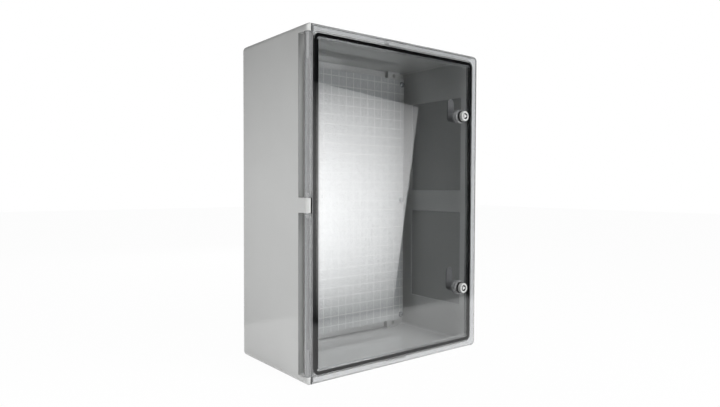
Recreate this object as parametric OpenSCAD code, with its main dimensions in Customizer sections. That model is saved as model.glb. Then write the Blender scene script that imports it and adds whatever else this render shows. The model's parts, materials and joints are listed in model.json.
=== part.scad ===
// Wall-mounted distribution box: a moulded body, a hinged clear door with a gasket,
// two quarter-turn locks and a mounting plate.
// The origin is the centre of the wall face, with +X to the right, +Y into the wall and +Z up.

/* [Enclosure] */
// Width over the side walls
box_w = 350; // [300:1:420]
// Height over the top and bottom walls
box_h = 500; // [440:1:600]
// Depth from the wall to the front face of the door
box_d = 190; // [150:1:250]
// Thickness of the moulded walls
wall = 3.5; // [2.5:0.1:4.5]
// Radius of the four corners seen from the front
corner_r = 8; // [7:0.5:12]
// Radius of the edge that runs round the back
back_edge_r = 5; // [3:0.5:6.5]
// Thickness of the flange behind the door
flange_t = 3; // [2.5:0.1:4]
// Thickness of the lip that the gasket closes on
lip_t = 2.2; // [1.6:0.1:3]
// Depth of the thinned fields inside the side walls
field_depth = 0.6; // [0.3:0.1:1]
// Height of the band between the two fields of a side wall
field_band = 39; // [20:1:80]
// Distance from the ends of the box to the fields
field_end = 66; // [40:1:100]
// Distance from the flange and from the plate to the fields
field_margin = 7; // [4:0.5:15]

/* [Door] */
// Depth of the door over its skirt
door_depth = 20; // [17:0.5:24]
// Gap between the skirt and the body
door_gap = 0.5; // [0.3:0.1:1]
// Thickness of the clear panel
panel_t = 3; // [2.5:0.1:4]
// Thickness of the skirt
skirt_t = 3; // [2:0.1:4]
// Radius of the front edge
door_edge_r = 4; // [2:0.5:6]

/* [Gasket] */
// Distance from the sides of the door to the gasket
seal_side = 13.6; // [12.5:0.1:18]
// Distance from the ends of the door to the gasket
seal_end = 9.8; // [9:0.1:14]
// Width of the gasket
seal_w = 5; // [4:0.1:7]
// Thickness of the gasket
seal_t = 4.7; // [3.5:0.1:6]
// Radius of the gasket's outer corners
seal_r = 8; // [7.5:0.5:12]
// Gap between the gasket and the lip
seal_gap = 0.3; // [0.2:0.1:0.6]
// Gap between the gasket and the ribs that hold it
seal_fit = 0.1; // [0.05:0.05:0.3]
// Thickness of the ribs that hold the gasket
rib_t = 2; // [1.2:0.1:2.4]
// How far the ribs stand past the gasket
rib_over = 1.3; // [0.5:0.1:1.5]

/* [Hinge] */
// Radius of the barrel and of the knuckles
hinge_r = 4.6; // [4:0.1:5]
// How far the barrel lies inside the faces of the box
hinge_skin = 0.1; // [0.1:0.1:0.5]
// Diameter of the hinge pins
pin_d = 4; // [3:0.1:5]
// Play round the pins
pin_play = 0.05; // [0.02:0.01:0.1]
// Play at the ends of the pins
pin_end_play = 0.5; // [0.3:0.1:1]
// Height of the top and bottom knuckles
end_knuckle_h = 11.6; // [11:0.1:16]
// Height of the middle knuckle
mid_knuckle_h = 21; // [15:0.5:40]
// Gap between the knuckles and the door
knuckle_gap = 0.5; // [0.3:0.1:1]
// Depth of an end pin in its knuckle
end_pin_seat = 9; // [6:0.1:9.5]
// Length of an end pin in the barrel
end_pin_reach = 37; // [20:1:60]
// Length of the middle pin in the barrel on each side
mid_pin_reach = 7; // [5:0.5:20]
// Thickness of the webs and of the walls beside the end knuckles
web_t = 2.2; // [1.5:0.1:3]
// Distance from the end pins' tips to the webs
web_offset = 6; // [3:0.5:15]

/* [Catch blocks] */
// Length of the block beside the lock side of the lip
side_block_l = 60; // [30:1:100]
// Length of the blocks above and below the lip
end_block_l = 40; // [20:1:80]
// How far the blocks stand out of the flange
block_h = 9.5; // [5:0.5:10]
// Gap between the blocks and the door
block_gap = 1.6; // [1.2:0.1:2]

/* [Locks] */
// Distance from the lock side of the door to the lock axes
lock_side = 42; // [36:0.5:60]
// Distance from the ends of the door to the lock axes
lock_end = 105.5; // [80:0.5:160]
// Diameter of the clear boss round a lock
boss_d = 23; // [21:0.5:26]
// How far the boss stands out of the door's front
boss_front = 1; // [0.5:0.1:2]
// How far the boss stands behind the panel
boss_back = 4; // [2:0.5:6]
// Diameter of the lock's head
head_d = 18; // [17.5:0.5:20]
// Thickness of the lock's head
head_t = 6; // [5:0.5:8]
// Radius of the head's rim
head_rim_r = 1; // [0.5:0.1:1.5]
// Diameter of the rubber ring under the head
ring_d = 19; // [18:0.5:20.5]
// Thickness of the rubber ring
ring_t = 4; // [2:0.5:5]
// Diameter of the shank
shank_d = 16; // [15.5:0.1:16.5]
// Gap round the shank
shank_fit = 0.2; // [0.1:0.05:0.4]
// Width of the nut across its flats
nut_af = 20; // [19:0.5:23]
// Thickness of the nut
nut_t = 5; // [3:0.5:6]
// Diameter of the bore for the rotor's head
key_bore_d = 12; // [11.5:0.1:12.5]
// Depth of the bore for the rotor's head
key_bore_depth = 10; // [8:0.5:12]
// Thickness of the rotor's rim round the key recess
key_rim_t = 0.8; // [0.6:0.1:1]
// Depth of the key recess
key_depth = 8; // [5:0.5:9]
// Side of the triangular key post
key_side = 8; // [6:0.5:8.5]
// How far the key post lies behind the face of the lock
key_set_back = 0.3; // [0.2:0.1:1]
// Diameter of the bore for the rotor's shaft
shaft_bore_d = 9; // [8.9:0.1:10]
// Play round the rotor
rotor_play = 0.05; // [0.02:0.01:0.1]
// Play at the rotor's shoulder and cam
rotor_end_play = 0.3; // [0.3:0.05:0.5]
// Thickness of the rotor's sealing ring
o_ring_t = 1.5; // [1:0.1:2]
// Gap round the rotor's sealing ring in its groove
o_ring_fit = 0.05; // [0.05:0.05:0.2]
// Width of the square tang
tang_w = 6.2; // [5.8:0.1:6.2]
// Gap round the tang
tang_fit = 0.05; // [0.05:0.05:0.2]
// Width of the cam
cam_w = 14; // [12:0.5:18]
// Thickness of the cam
cam_t = 2.5; // [2:0.1:4]
// How far the cam reaches behind the flange
cam_catch = 7; // [4:0.5:9]
// Gap between the cam and the flange
cam_gap = 0.5; // [0.3:0.1:1]
// Diameter of the cam screw
cam_screw_d = 4; // [3:0.1:4]
// Length of the cam screw in the rotor
cam_screw_l = 10; // [6:0.5:12]
// Diameter of the cam screw's head
cam_screw_head_d = 7; // [6:0.1:8]
// Thickness of the cam screw's head
cam_screw_head_t = 2.6; // [2:0.1:4]
// Diameter of the washer on the cam
cam_washer_d = 10; // [9.5:0.1:12]
// Thickness of the washer on the cam
cam_washer_t = 1; // [0.8:0.1:1.5]

/* [Mounting plate] */
// Gap between the plate and the side walls
plate_side = 16.5; // [12:0.5:30]
// Gap between the plate and the top and bottom walls
plate_end = 15.5; // [12:0.5:30]
// Thickness of the plate
plate_t = 2; // [1.5:0.1:4]
// Radius of the plate's corners
plate_corner_r = 3; // [1:0.5:5]
// Distance from the inside of the back wall to the plate
plate_standoff = 17.5; // [14:0.5:40]
// Distance from the sides of the plate to its screws
plate_screw_side = 5.5; // [5.5:0.1:15]
// Distance from the ends of the plate to its screws
plate_screw_end = 9; // [6:0.5:20]
// Diameter of the bosses behind the plate
post_d = 12; // [10.5:0.5:16]
// Diameter of the threaded inserts
insert_d = 8; // [7:0.1:8.5]
// Length of the threaded inserts
insert_l = 10; // [6:0.5:12]
// Diameter of the plate screws
screw_d = 5; // [4:0.1:5.5]
// Length of the plate screws under the head
screw_l = 11; // [8:0.5:13]
// Diameter of the plate screws' heads
screw_head_d = 9; // [8:0.1:10]
// Thickness of the plate screws' heads
screw_head_t = 3.2; // [2:0.1:4]
// Diameter of the washers under the heads
washer_d = 10.5; // [9:0.1:11]
// Thickness of the washers under the heads
washer_t = 1; // [0.8:0.1:1.5]
// Gap round screws and inserts
screw_fit = 0.05; // [0.05:0.05:0.15]
// Width of the cross recess in the screw heads
cross_w = 1.1; // [0.8:0.1:1.5]
// Depth of the cross recess in the screw heads
cross_depth = 1.5; // [1:0.1:1.8]
// Span of the cross recess as a share of the head's diameter
cross_share = 0.55; // [0.4:0.05:0.7]

/* [Wall fixing] */
// Distance from the side walls' outer faces to the fixing holes
fix_side = 36; // [30:0.5:60]
// Distance from the top and bottom outer faces to the fixing holes
fix_end = 11; // [10:0.5:13]
// Diameter of the fixing holes
fix_d = 7; // [5:0.5:8]
// Width of the pads round the fixing holes
pad_w = 30; // [20:1:40]
// Height of the pads round the fixing holes
pad_h = 15.5; // [15:0.5:20]
// Thickness of the pads over the back wall
pad_t = 8.5; // [4:0.5:12]

/* [Hidden] */
$fn = 48;
hull_fn = 32;
edge_steps = 5;
edge_min = 0.4;
cut = 1;
sides = [-1, 1];

// Depths are measured back from the front face of the door
skirt_y = door_depth;
step_y = door_depth + door_gap;
flange_y = step_y + flange_t;
seal_y = panel_t + seal_t;
rib_y = seal_y + rib_over;
lip_y = seal_y + seal_gap;
floor_y = box_d - wall;
plate_back_y = floor_y - plate_standoff;
plate_y = plate_back_y - plate_t;
washer_y = plate_y - washer_t;

// Outlines seen from the front
seal_size = [box_w - 2 * seal_side, box_h - 2 * seal_end];
lip_size = seal_size - [seal_w - lip_t, seal_w - lip_t];
lip_r = seal_r - (seal_w - lip_t) / 2;
opening_size = lip_size - [2 * lip_t, 2 * lip_t];
outer_rib_size = seal_size + [2, 2] * (seal_fit + rib_t);
inner_rib_size = seal_size - [2, 2] * (seal_w + seal_fit);
outer_rib_r = seal_r + seal_fit + rib_t;
inner_rib_r = max(seal_r - seal_w - seal_fit, rib_t + edge_min);
plate_size = [box_w - 2 * (wall + plate_side), box_h - 2 * (wall + plate_end)];
plate_screw_x = plate_size[0] / 2 - plate_screw_side;
plate_screw_z = plate_size[1] / 2 - plate_screw_end;

// Hinge
axis_x = -box_w / 2 + hinge_skin + hinge_r;
axis_y = hinge_skin + hinge_r;
notch_x = axis_x + hinge_r + knuckle_gap;
end_knuckle_z = box_h / 2 - end_knuckle_h;
mid_knuckle_z = mid_knuckle_h / 2;
barrel_top = end_knuckle_z - knuckle_gap;
barrel_low = mid_knuckle_z + knuckle_gap;
end_pin_tip = end_knuckle_z - end_pin_reach;
mid_pin_tip = mid_knuckle_z + mid_pin_reach;
pin_bore_r = pin_d / 2 + pin_play;
web_z = end_pin_tip + web_offset;

// Locks
lock_x = box_w / 2 - lock_side;
lock_z = box_h / 2 - lock_end;
ring_y = -boss_front - ring_t;
head_y = ring_y - head_t;
boss_y = panel_t + boss_back;
cam_y = flange_y + cam_gap;
shank_y = cam_y - rotor_end_play;
shoulder_y = head_y + key_bore_depth;
rotor_head_r = key_bore_d / 2 - rotor_play;
shaft_r = shaft_bore_d / 2 - rotor_play;
rotor_y = head_y + key_set_back;
o_ring_y = (shoulder_y + shank_y) / 2;
o_ring_r = shaft_r - o_ring_t / 2;
cam_back_y = cam_y + cam_t;
cam_screw_y = cam_back_y + cam_washer_t;
cam_reach = opening_size[0] / 2 + cam_catch - lock_x;

// Colours
body_grey = "#c9cac8";
clear_grey = [0.82, 0.84, 0.85, 0.35];
lock_grey = "#dcdddb";
rubber_black = "#1c1c1d";
dark_grey = "#58595a";
zinc_grey = "#b4b7ba";
brass_yellow = "#c8a45a";
plate_grey = "#b9bbbb";

// Points of an arc round a centre, or the corner itself where the radius is zero
function arc(centre, r, from, to) =
    r > 0
    ? [for (i = [0:edge_steps]) let (a = from + (to - from) * i / edge_steps) centre + r * [cos(a), sin(a)]]
    : [centre];

// Moves a shape from the front face of the door to its place before the wall
module from_front() {
    translate([0, -box_d, 0]) children();
}

// Raises a front outline between two depths
module slab(y0, y1) {
    translate([0, y1, 0]) rotate([90, 0, 0]) linear_extrude(y1 - y0) children();
}

// Round bar along the depth, centred on x and z
module rod(r, y0, y1, x = 0, z = 0) {
    translate([x, y1, z]) rotate([90, 0, 0]) cylinder(r = r, h = y1 - y0);
}

// Rectangle with round corners
module rounded(size, r) {
    square([size[0] - 2 * r, size[1]], center = true);
    square([size[0], size[1] - 2 * r], center = true);
    for (sx = sides, sz = sides)
        translate([sx * (size[0] / 2 - r), sz * (size[1] / 2 - r)]) circle(r);
}

// Frame of even thickness inside an outline
module frame_outline(size, r, t) {
    difference() {
        rounded(size, r);
        rounded(size - [2 * t, 2 * t], max(r - t, edge_min));
    }
}

// Box with round corners and round edges at its front and back
module rounded_box(size, y0, y1, r, front_r, back_r) {
    profile = concat(
        [[0, 0]], arc([r - front_r, front_r], front_r, -90, 0),
        arc([r - back_r, y1 - y0 - back_r], back_r, 0, 90), [[0, y1 - y0]]
    );
    hull()
        for (sx = sides, sz = sides)
            translate([sx * (size[0] / 2 - r), y0, sz * (size[1] / 2 - r)])
                rotate([-90, 0, 0]) rotate_extrude($fn = hull_fn) polygon(profile);
}

// Upright hinge knuckle that runs back to the flange
module knuckle(z0, z1) {
    translate([axis_x, axis_y, z0]) linear_extrude(z1 - z0) {
        circle(hinge_r);
        translate([-hinge_r, 0]) square([2 * hinge_r, step_y - axis_y + cut]);
    }
}

module knuckles() {
    knuckle(-mid_knuckle_z, mid_knuckle_z);
    knuckle(end_knuckle_z, box_h / 2 + cut);
    knuckle(-box_h / 2 - cut, -end_knuckle_z);
}

// Upright cylinder on the hinge axis
module hinge_rod(r, z0, z1) {
    translate([axis_x, axis_y, z0]) cylinder(r = r, h = z1 - z0);
}

// Bores for the three pins in the knuckles
module pin_bores() {
    hinge_rod(pin_bore_r, -mid_pin_tip - pin_end_play, mid_pin_tip + pin_end_play);
    hinge_rod(pin_bore_r, end_pin_tip - pin_end_play, end_knuckle_z + end_pin_seat);
    hinge_rod(pin_bore_r, -end_knuckle_z - end_pin_seat, -end_pin_tip + pin_end_play);
}

// Blocks on the flange, between the lip and the door's skirt
module catch_blocks() {
    y0 = step_y - block_h;
    side_x0 = outer_rib_size[0] / 2 + block_gap;
    side_x1 = box_w / 2 - skirt_t - block_gap;
    end_z0 = outer_rib_size[1] / 2 + block_gap / 2;
    end_z1 = box_h / 2 - skirt_t - block_gap / 2;
    translate([side_x0, y0, -side_block_l / 2]) cube([side_x1 - side_x0, block_h + cut, side_block_l]);
    for (sz = sides)
        translate([-end_block_l / 2, y0, sz * (end_z0 + end_z1) / 2 - (end_z1 - end_z0) / 2])
            cube([end_block_l, block_h + cut, end_z1 - end_z0]);
}

// Places children at the six plate screws
module at_plate_screws() {
    for (sx = sides, row = [-1, 0, 1])
        translate([sx * plate_screw_x, 0, row * plate_screw_z]) children();
}

// Posts behind the plate and pads round the fixing holes
module floor_features() {
    at_plate_screws() rod(post_d / 2, plate_back_y, floor_y + cut);
    for (sx = sides, sz = sides)
        translate([
            sx * (box_w / 2 - fix_side) - pad_w / 2,
            floor_y - pad_t,
            sz > 0 ? box_h / 2 - wall - pad_h : -box_h / 2 + wall - cut
        ])
            cube([pad_w, pad_t + cut, pad_h + cut]);
}

// Thinned fields inside the side walls
module wall_fields() {
    y0 = flange_y + field_margin;
    y1 = plate_y - field_margin;
    z1 = box_h / 2 - field_end;
    for (sx = sides, sz = sides)
        translate([
            sx > 0 ? box_w / 2 - wall - cut : -box_w / 2 + wall - field_depth,
            y0,
            sz > 0 ? field_band / 2 : -z1
        ])
            cube([field_depth + cut, y1 - y0, z1 - field_band / 2]);
}

module body_shell() {
    inner = [box_w - 2 * wall, box_h - 2 * wall];
    color(body_grey) from_front() difference() {
        rounded_box([box_w, box_h], 0, box_d, corner_r, door_edge_r, back_edge_r);
        difference() {
            slab(-cut, step_y) square([box_w + 2 * cut, box_h + 2 * cut], center = true);
            slab(lip_y, step_y + cut) rounded(lip_size, lip_r);
            knuckles();
            catch_blocks();
        }
        difference() {
            rounded_box(inner, flange_y, floor_y, corner_r - wall, 0, max(back_edge_r - wall, edge_min));
            floor_features();
        }
        slab(0, flange_y + cut) rounded(opening_size, lip_r - lip_t);
        wall_fields();
        pin_bores();
        at_plate_screws() rod(insert_d / 2 + screw_fit, plate_back_y - cut, plate_back_y + screw_l + screw_fit);
        for (sx = sides, sz = sides)
            rod(fix_d / 2, floor_y - pad_t - cut, box_d + cut,
                sx * (box_w / 2 - fix_side), sz * (box_h / 2 - fix_end));
    }
}

// Places children at a lock axis, up is 1 for the upper lock and -1 for the lower one
module at_lock(up) {
    from_front() translate([lock_x, 0, up * lock_z]) children();
}

// Barrel between two heights, with the strip that joins it to the panel
module barrel(z0, z1) {
    hinge_rod(hinge_r, z0, z1);
    translate([axis_x, 0, z0]) cube([notch_x - axis_x + cut, panel_t, z1 - z0]);
}

// Web that ties the barrel to the gasket rib
module hinge_web(z) {
    x1 = -seal_size[0] / 2 - seal_fit - rib_t / 2;
    translate([axis_x + hinge_r - rib_t / 2, panel_t - cut, z - web_t / 2])
        cube([x1 - axis_x - hinge_r + rib_t / 2, seal_t + cut, web_t]);
}

// Walls that close the ends of the skirt beside the knuckles
module skirt_ends() {
    z0 = outer_rib_size[1] / 2 - rib_t;
    for (sz = sides)
        translate([notch_x, panel_t - cut, sz > 0 ? z0 : -box_h / 2 + skirt_t / 2])
            cube([web_t, skirt_y - panel_t + cut, box_h / 2 - skirt_t / 2 - z0]);
}

module door_panel() {
    inner = [box_w - 2 * skirt_t, box_h - 2 * skirt_t];
    color(clear_grey) from_front() difference() {
        union() {
            difference() {
                rounded_box([box_w, box_h], 0, skirt_y, corner_r, door_edge_r, 0);
                rounded_box(inner, panel_t, skirt_y + cut, corner_r - skirt_t, max(door_edge_r - panel_t, edge_min), 0);
                translate([-box_w, -cut, -box_h])
                    cube([box_w + notch_x, skirt_y + 2 * cut, 2 * box_h]);
            }
            barrel(barrel_low, barrel_top);
            barrel(-barrel_top, -barrel_low);
            for (sz = sides)
                hinge_web(sz * web_z);
            skirt_ends();
            slab(panel_t - cut, rib_y) frame_outline(outer_rib_size, outer_rib_r, rib_t);
            slab(panel_t - cut, rib_y) frame_outline(inner_rib_size, inner_rib_r, rib_t);
            for (sz = sides)
                rod(boss_d / 2, -boss_front, boss_y, lock_x, sz * lock_z);
        }
        hinge_rod(pin_bore_r, barrel_low - cut, barrel_top + cut);
        hinge_rod(pin_bore_r, -barrel_top - cut, cut - barrel_low);
        for (sz = sides)
            rod(shank_d / 2 + shank_fit, -boss_front - cut, boss_y + cut, lock_x, sz * lock_z);
    }
}

module door_gasket() {
    color(rubber_black) from_front() slab(panel_t, seal_y) frame_outline(seal_size, seal_r, seal_w);
}

module hinge_pin(z0, z1) {
    color(zinc_grey) from_front() hinge_rod(pin_d / 2, z0, z1);
}

module hinge_pin_upper() {
    hinge_pin(end_pin_tip, end_knuckle_z + end_pin_seat);
}

module hinge_pin_middle() {
    hinge_pin(-mid_pin_tip, mid_pin_tip);
}

module hinge_pin_lower() {
    hinge_pin(-end_knuckle_z - end_pin_seat, -end_pin_tip);
}

// Head with a round rim, shank and stepped bore
module lock_housing() {
    head_profile = concat(
        [[0, 0]], arc([head_d / 2 - head_rim_r, head_rim_r], head_rim_r, -90, 0),
        [[head_d / 2, head_t], [shank_d / 2, head_t], [shank_d / 2, shank_y - head_y], [0, shank_y - head_y]]
    );
    color(lock_grey) difference() {
        translate([0, head_y, 0]) rotate([-90, 0, 0]) rotate_extrude() polygon(head_profile);
        rod(key_bore_d / 2, head_y - cut, shoulder_y);
        rod(shaft_bore_d / 2, head_y, shank_y + cut);
    }
}

module lock_seal() {
    color(rubber_black) difference() {
        rod(ring_d / 2, ring_y, -boss_front);
        rod(shank_d / 2 + shank_fit, ring_y - cut, cut);
    }
}

// Six-sided nut with its corners chamfered on both faces
module lock_nut() {
    corner = nut_af / 2 / cos(30);
    chamfer = (corner - nut_af / 2) * tan(30);
    turned = [
        [0, 0], [nut_af / 2, 0], [corner, chamfer], [corner, nut_t - chamfer], [nut_af / 2, nut_t], [0, nut_t]
    ];
    color(dark_grey) difference() {
        intersection() {
            slab(boss_y, boss_y + nut_t) circle(corner, $fn = 6);
            translate([0, boss_y, 0]) rotate([-90, 0, 0]) rotate_extrude() polygon(turned);
        }
        rod(shank_d / 2 + shank_fit, boss_y - cut, boss_y + nut_t + cut);
    }
}

// Triangular key post in a recess, shaft with a groove and square tang
module lock_rotor() {
    color(lock_grey) difference() {
        union() {
            difference() {
                rod(rotor_head_r, rotor_y, shoulder_y - rotor_end_play);
                rod(rotor_head_r - key_rim_t, rotor_y - cut, rotor_y + key_depth);
            }
            slab(rotor_y, rotor_y + key_depth + cut / 2) circle(r = key_side / sqrt(3), $fn = 3);
            difference() {
                rod(shaft_r, shoulder_y - rotor_end_play - cut, cam_y);
                difference() {
                    rod(shaft_r + cut, o_ring_y - o_ring_t / 2 - o_ring_fit, o_ring_y + o_ring_t / 2 + o_ring_fit);
                    rod(shaft_r - o_ring_t - o_ring_fit, o_ring_y - o_ring_t, o_ring_y + o_ring_t);
                }
            }
            slab(cam_y - cut, cam_back_y) square(tang_w, center = true);
        }
        rod(cam_screw_d / 2 + screw_fit, cam_screw_y - cam_screw_l - screw_fit, cam_back_y + cut);
    }
}

module lock_o_ring() {
    color(rubber_black) translate([0, o_ring_y, 0]) rotate([-90, 0, 0])
        rotate_extrude() translate([o_ring_r, 0]) circle(o_ring_t / 2);
}

// Flat bar that points up while the lock is open
module lock_cam() {
    color(dark_grey) slab(cam_y, cam_back_y) difference() {
        union() {
            circle(cam_w / 2);
            translate([-cam_w / 2, 0]) square([cam_w, cam_reach - cam_w / 2]);
            translate([0, cam_reach - cam_w / 2]) circle(cam_w / 2);
        }
        square(tang_w + 2 * tang_fit, center = true);
    }
}

module lock_washer() {
    color(zinc_grey) difference() {
        rod(cam_washer_d / 2, cam_back_y, cam_screw_y);
        rod(cam_screw_d / 2 + screw_fit, cam_back_y - cut, cam_screw_y + cut);
    }
}

// Screw head with a round rim, standing up from the plane that it seats on
module pan_head(d, t) {
    rotate_extrude() polygon(concat([[0, 0], [d / 2, 0]], arc([(d - t) / 2, t / 2], t / 2, 0, 90), [[0, t]]));
}

// Cross recess in a screw head, between two depths
module cross_recess(d, y0, y1) {
    slab(y0, y1) {
        square([cross_share * d, cross_w], center = true);
        square([cross_w, cross_share * d], center = true);
    }
}

module lock_screw() {
    top_y = cam_screw_y + cam_screw_head_t;
    color(zinc_grey) difference() {
        union() {
            rod(cam_screw_d / 2, cam_screw_y - cam_screw_l, cam_screw_y + cut / 2);
            translate([0, cam_screw_y, 0]) rotate([-90, 0, 0]) pan_head(cam_screw_head_d, cam_screw_head_t);
        }
        cross_recess(cam_screw_head_d, top_y - cross_depth, top_y + cut);
    }
}

module mounting_plate() {
    color(plate_grey) from_front() difference() {
        slab(plate_y, plate_back_y) rounded(plate_size, plate_corner_r);
        at_plate_screws() rod(screw_d / 2 + screw_fit, plate_y - cut, plate_back_y + cut);
    }
}

module plate_screws() {
    top_y = washer_y - screw_head_t;
    color(zinc_grey) from_front() at_plate_screws() difference() {
        union() {
            rod(screw_d / 2, washer_y - cut / 2, washer_y + screw_l);
            translate([0, washer_y, 0]) rotate([90, 0, 0]) pan_head(screw_head_d, screw_head_t);
        }
        cross_recess(screw_head_d, top_y - cut, top_y + cross_depth);
    }
}

module plate_washers() {
    color(zinc_grey) from_front() at_plate_screws() difference() {
        rod(washer_d / 2, washer_y, plate_y);
        rod(screw_d / 2 + screw_fit, washer_y - cut, plate_y + cut);
    }
}

module plate_inserts() {
    color(brass_yellow) from_front() at_plate_screws() difference() {
        rod(insert_d / 2, plate_back_y, plate_back_y + insert_l);
        rod(screw_d / 2 + screw_fit, plate_back_y - cut, plate_back_y + insert_l + cut);
    }
}

body_shell();
door_panel();
door_gasket();
hinge_pin_upper();
hinge_pin_middle();
hinge_pin_lower();
at_lock(1) lock_housing();  // upper_lock_housing
at_lock(1) lock_seal();  // upper_lock_seal
at_lock(1) lock_nut();  // upper_lock_nut
at_lock(1) lock_rotor();  // upper_lock_rotor
at_lock(1) lock_o_ring();  // upper_lock_o_ring
at_lock(1) lock_cam();  // upper_lock_cam
at_lock(1) lock_washer();  // upper_lock_washer
at_lock(1) lock_screw();  // upper_lock_screw
at_lock(-1) lock_housing();  // lower_lock_housing
at_lock(-1) lock_seal();  // lower_lock_seal
at_lock(-1) lock_nut();  // lower_lock_nut
at_lock(-1) lock_rotor();  // lower_lock_rotor
at_lock(-1) lock_o_ring();  // lower_lock_o_ring
at_lock(-1) lock_cam();  // lower_lock_cam
at_lock(-1) lock_washer();  // lower_lock_washer
at_lock(-1) lock_screw();  // lower_lock_screw
mounting_plate();
plate_screws();
plate_washers();
plate_inserts();
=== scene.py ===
"""Models, dresses and lights a wall-mounted distribution box with a clear hinged door."""

import json
import math

import bmesh
import bpy
from mathutils import Matrix, Vector


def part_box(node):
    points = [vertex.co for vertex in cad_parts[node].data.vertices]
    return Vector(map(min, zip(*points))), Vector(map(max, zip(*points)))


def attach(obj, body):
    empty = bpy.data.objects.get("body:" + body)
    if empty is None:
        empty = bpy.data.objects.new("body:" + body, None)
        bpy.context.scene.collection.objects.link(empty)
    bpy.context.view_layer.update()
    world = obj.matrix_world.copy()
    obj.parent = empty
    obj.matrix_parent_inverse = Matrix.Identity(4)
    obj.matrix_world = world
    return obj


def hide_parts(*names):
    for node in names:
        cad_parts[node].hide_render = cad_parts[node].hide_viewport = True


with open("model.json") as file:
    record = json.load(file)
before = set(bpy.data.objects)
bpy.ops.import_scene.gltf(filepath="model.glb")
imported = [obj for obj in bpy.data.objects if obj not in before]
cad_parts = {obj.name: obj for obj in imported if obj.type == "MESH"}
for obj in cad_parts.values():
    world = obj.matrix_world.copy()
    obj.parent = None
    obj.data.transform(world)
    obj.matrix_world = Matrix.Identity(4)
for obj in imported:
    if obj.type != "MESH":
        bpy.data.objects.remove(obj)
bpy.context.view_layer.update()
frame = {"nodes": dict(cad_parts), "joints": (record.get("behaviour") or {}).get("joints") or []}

bl_info = {
    "name": "Clear-door distribution box",
    "version": (1, 0, 0),
    "blender": (4, 5, 0),
    "location": "View3D > Sidebar > Distribution box",
    "description": "Models, dresses and lights a wall-mounted distribution box with a clear hinged door",
    "category": "Object",
}

MM = 0.001

# Places that come from the packed frame
BODY_LOW, BODY_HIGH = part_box("body_shell")
DOOR_LOW, DOOR_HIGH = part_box("door_panel")
SEAL_LOW, SEAL_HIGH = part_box("door_gasket")
PLATE_LOW, PLATE_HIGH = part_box("mounting_plate")
HEAD_LOW, HEAD_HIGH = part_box("upper_lock_housing")
RING_LOW, RING_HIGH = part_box("upper_lock_seal")
NUT_LOW, NUT_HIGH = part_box("upper_lock_nut")
ROTOR_LOW, ROTOR_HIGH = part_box("upper_lock_rotor")
CAM_LOW, CAM_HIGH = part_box("upper_lock_cam")
CAM_WASHER_LOW, CAM_WASHER_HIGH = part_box("upper_lock_washer")
CAM_SCREW_LOW, CAM_SCREW_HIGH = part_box("upper_lock_screw")
SCREWS_LOW, SCREWS_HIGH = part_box("plate_screws")
WASHERS_LOW, WASHERS_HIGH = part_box("plate_washers")
AXES = {joint["name"]: Vector(joint["pos_m"]) for joint in frame["joints"]}
HINGE = AXES["door_hinge"]
UPPER_LOCK = AXES["upper_lock_turn"]
LOCK_STEP = AXES["lower_lock_turn"] - UPPER_LOCK
LOCK_AXIS = Vector((UPPER_LOCK.x, 0, UPPER_LOCK.z))
LOCKS = {1: UPPER_LOCK, -1: UPPER_LOCK + LOCK_STEP}
PINS = ("hinge_pin_upper", "hinge_pin_middle", "hinge_pin_lower")
# The photograph shows the gasket's ends a little nearer the middle than the solid has them
SEAL_INSET = 2 * MM
SEAL_END = SEAL_HIGH.z - SEAL_INSET

# How finely round shapes are drawn
CORNER_STEPS = 8
EDGE_STEPS = 6
TURN_STEPS = 64
BEVEL_STEPS = 2

# From which angle an edge is rounded or shaded as sharp, and how much large faces lead the shading
BEVEL_ANGLE = math.radians(40)
SMOOTH_ANGLE = math.radians(50)
FLAT_WEIGHT = 60

# How far tools overlap, how closely places agree, and how far apart a loft's planes stand in the making
OVERLAP = 1 * MM
NEAR = 0.01 * MM
SPREAD = 1000 * MM
SPREAD_STEP = 20 * MM

# The two sides, and the three rows of plate screws
SIDES = (-1, 1)
ROWS = (-1, 0, 1)

# Shares that give small forms their shape. The knuckles' keeps their two rounded edges from meeting
KNUCKLE_ROUND = 0.998
THREAD_CREST = 0.15
THREAD_ROOT = 0.6
THREAD_DEPTH = 0.5
NUT_SLOPE = 1.2
DOME_SHARE = 0.55
TIP_SHARE = 0.6
RECESS_SHARE = 0.55

# The range that soft noise mostly keeps to
NOISE_LOW, NOISE_HIGH = 0.3, 0.7

# How the door's plastic bends light, and how much its satin and frosted faces let through
POLYCARBONATE_IOR = 1.585
SATIN_CLEAR = 0.8
FROSTED_CLEAR = 0.25

# Directions, as parts of a unit vector, between which the studio's room changes its brightness
ROOM_LEFT, ROOM_RIGHT = -0.3, 0.1
ROOM_FRONT, ROOM_BACK = -0.2, 0.2
BACKDROP_LOW, BACKDROP_HIGH = 0.0, 0.25

# White light, and the width of the camera's sensor in millimetres
WHITE = (1, 1, 1, 1)
SENSOR_WIDTH = 36


def linear(code):
    """Turns an sRGB hex code into linear red, green and blue with full alpha."""
    shares = [int(code[i:i + 2], 16) / 255 for i in (0, 2, 4)]
    return [x / 12.92 if x <= 0.04045 else ((x + 0.055) / 1.055) ** 2.4 for x in shares] + [1.0]


def length(name, description, default):
    """A size in metres that a user can change."""
    return bpy.props.FloatProperty(
        name=name, description=description, default=default, unit="LENGTH", precision=4
    )


def point(name, description, default):
    """A place in metres that a user can change."""
    return bpy.props.FloatVectorProperty(
        name=name, description=description, default=default, size=3, unit="LENGTH", subtype="XYZ"
    )


def amount(name, description, default):
    """A plain number that a user can change."""
    return bpy.props.FloatProperty(name=name, description=description, default=default, precision=3)


def angle(name, description, degrees):
    """A turn that a user can change, given in degrees."""
    return bpy.props.FloatProperty(
        name=name, description=description, default=math.radians(degrees), subtype="ANGLE"
    )


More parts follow.
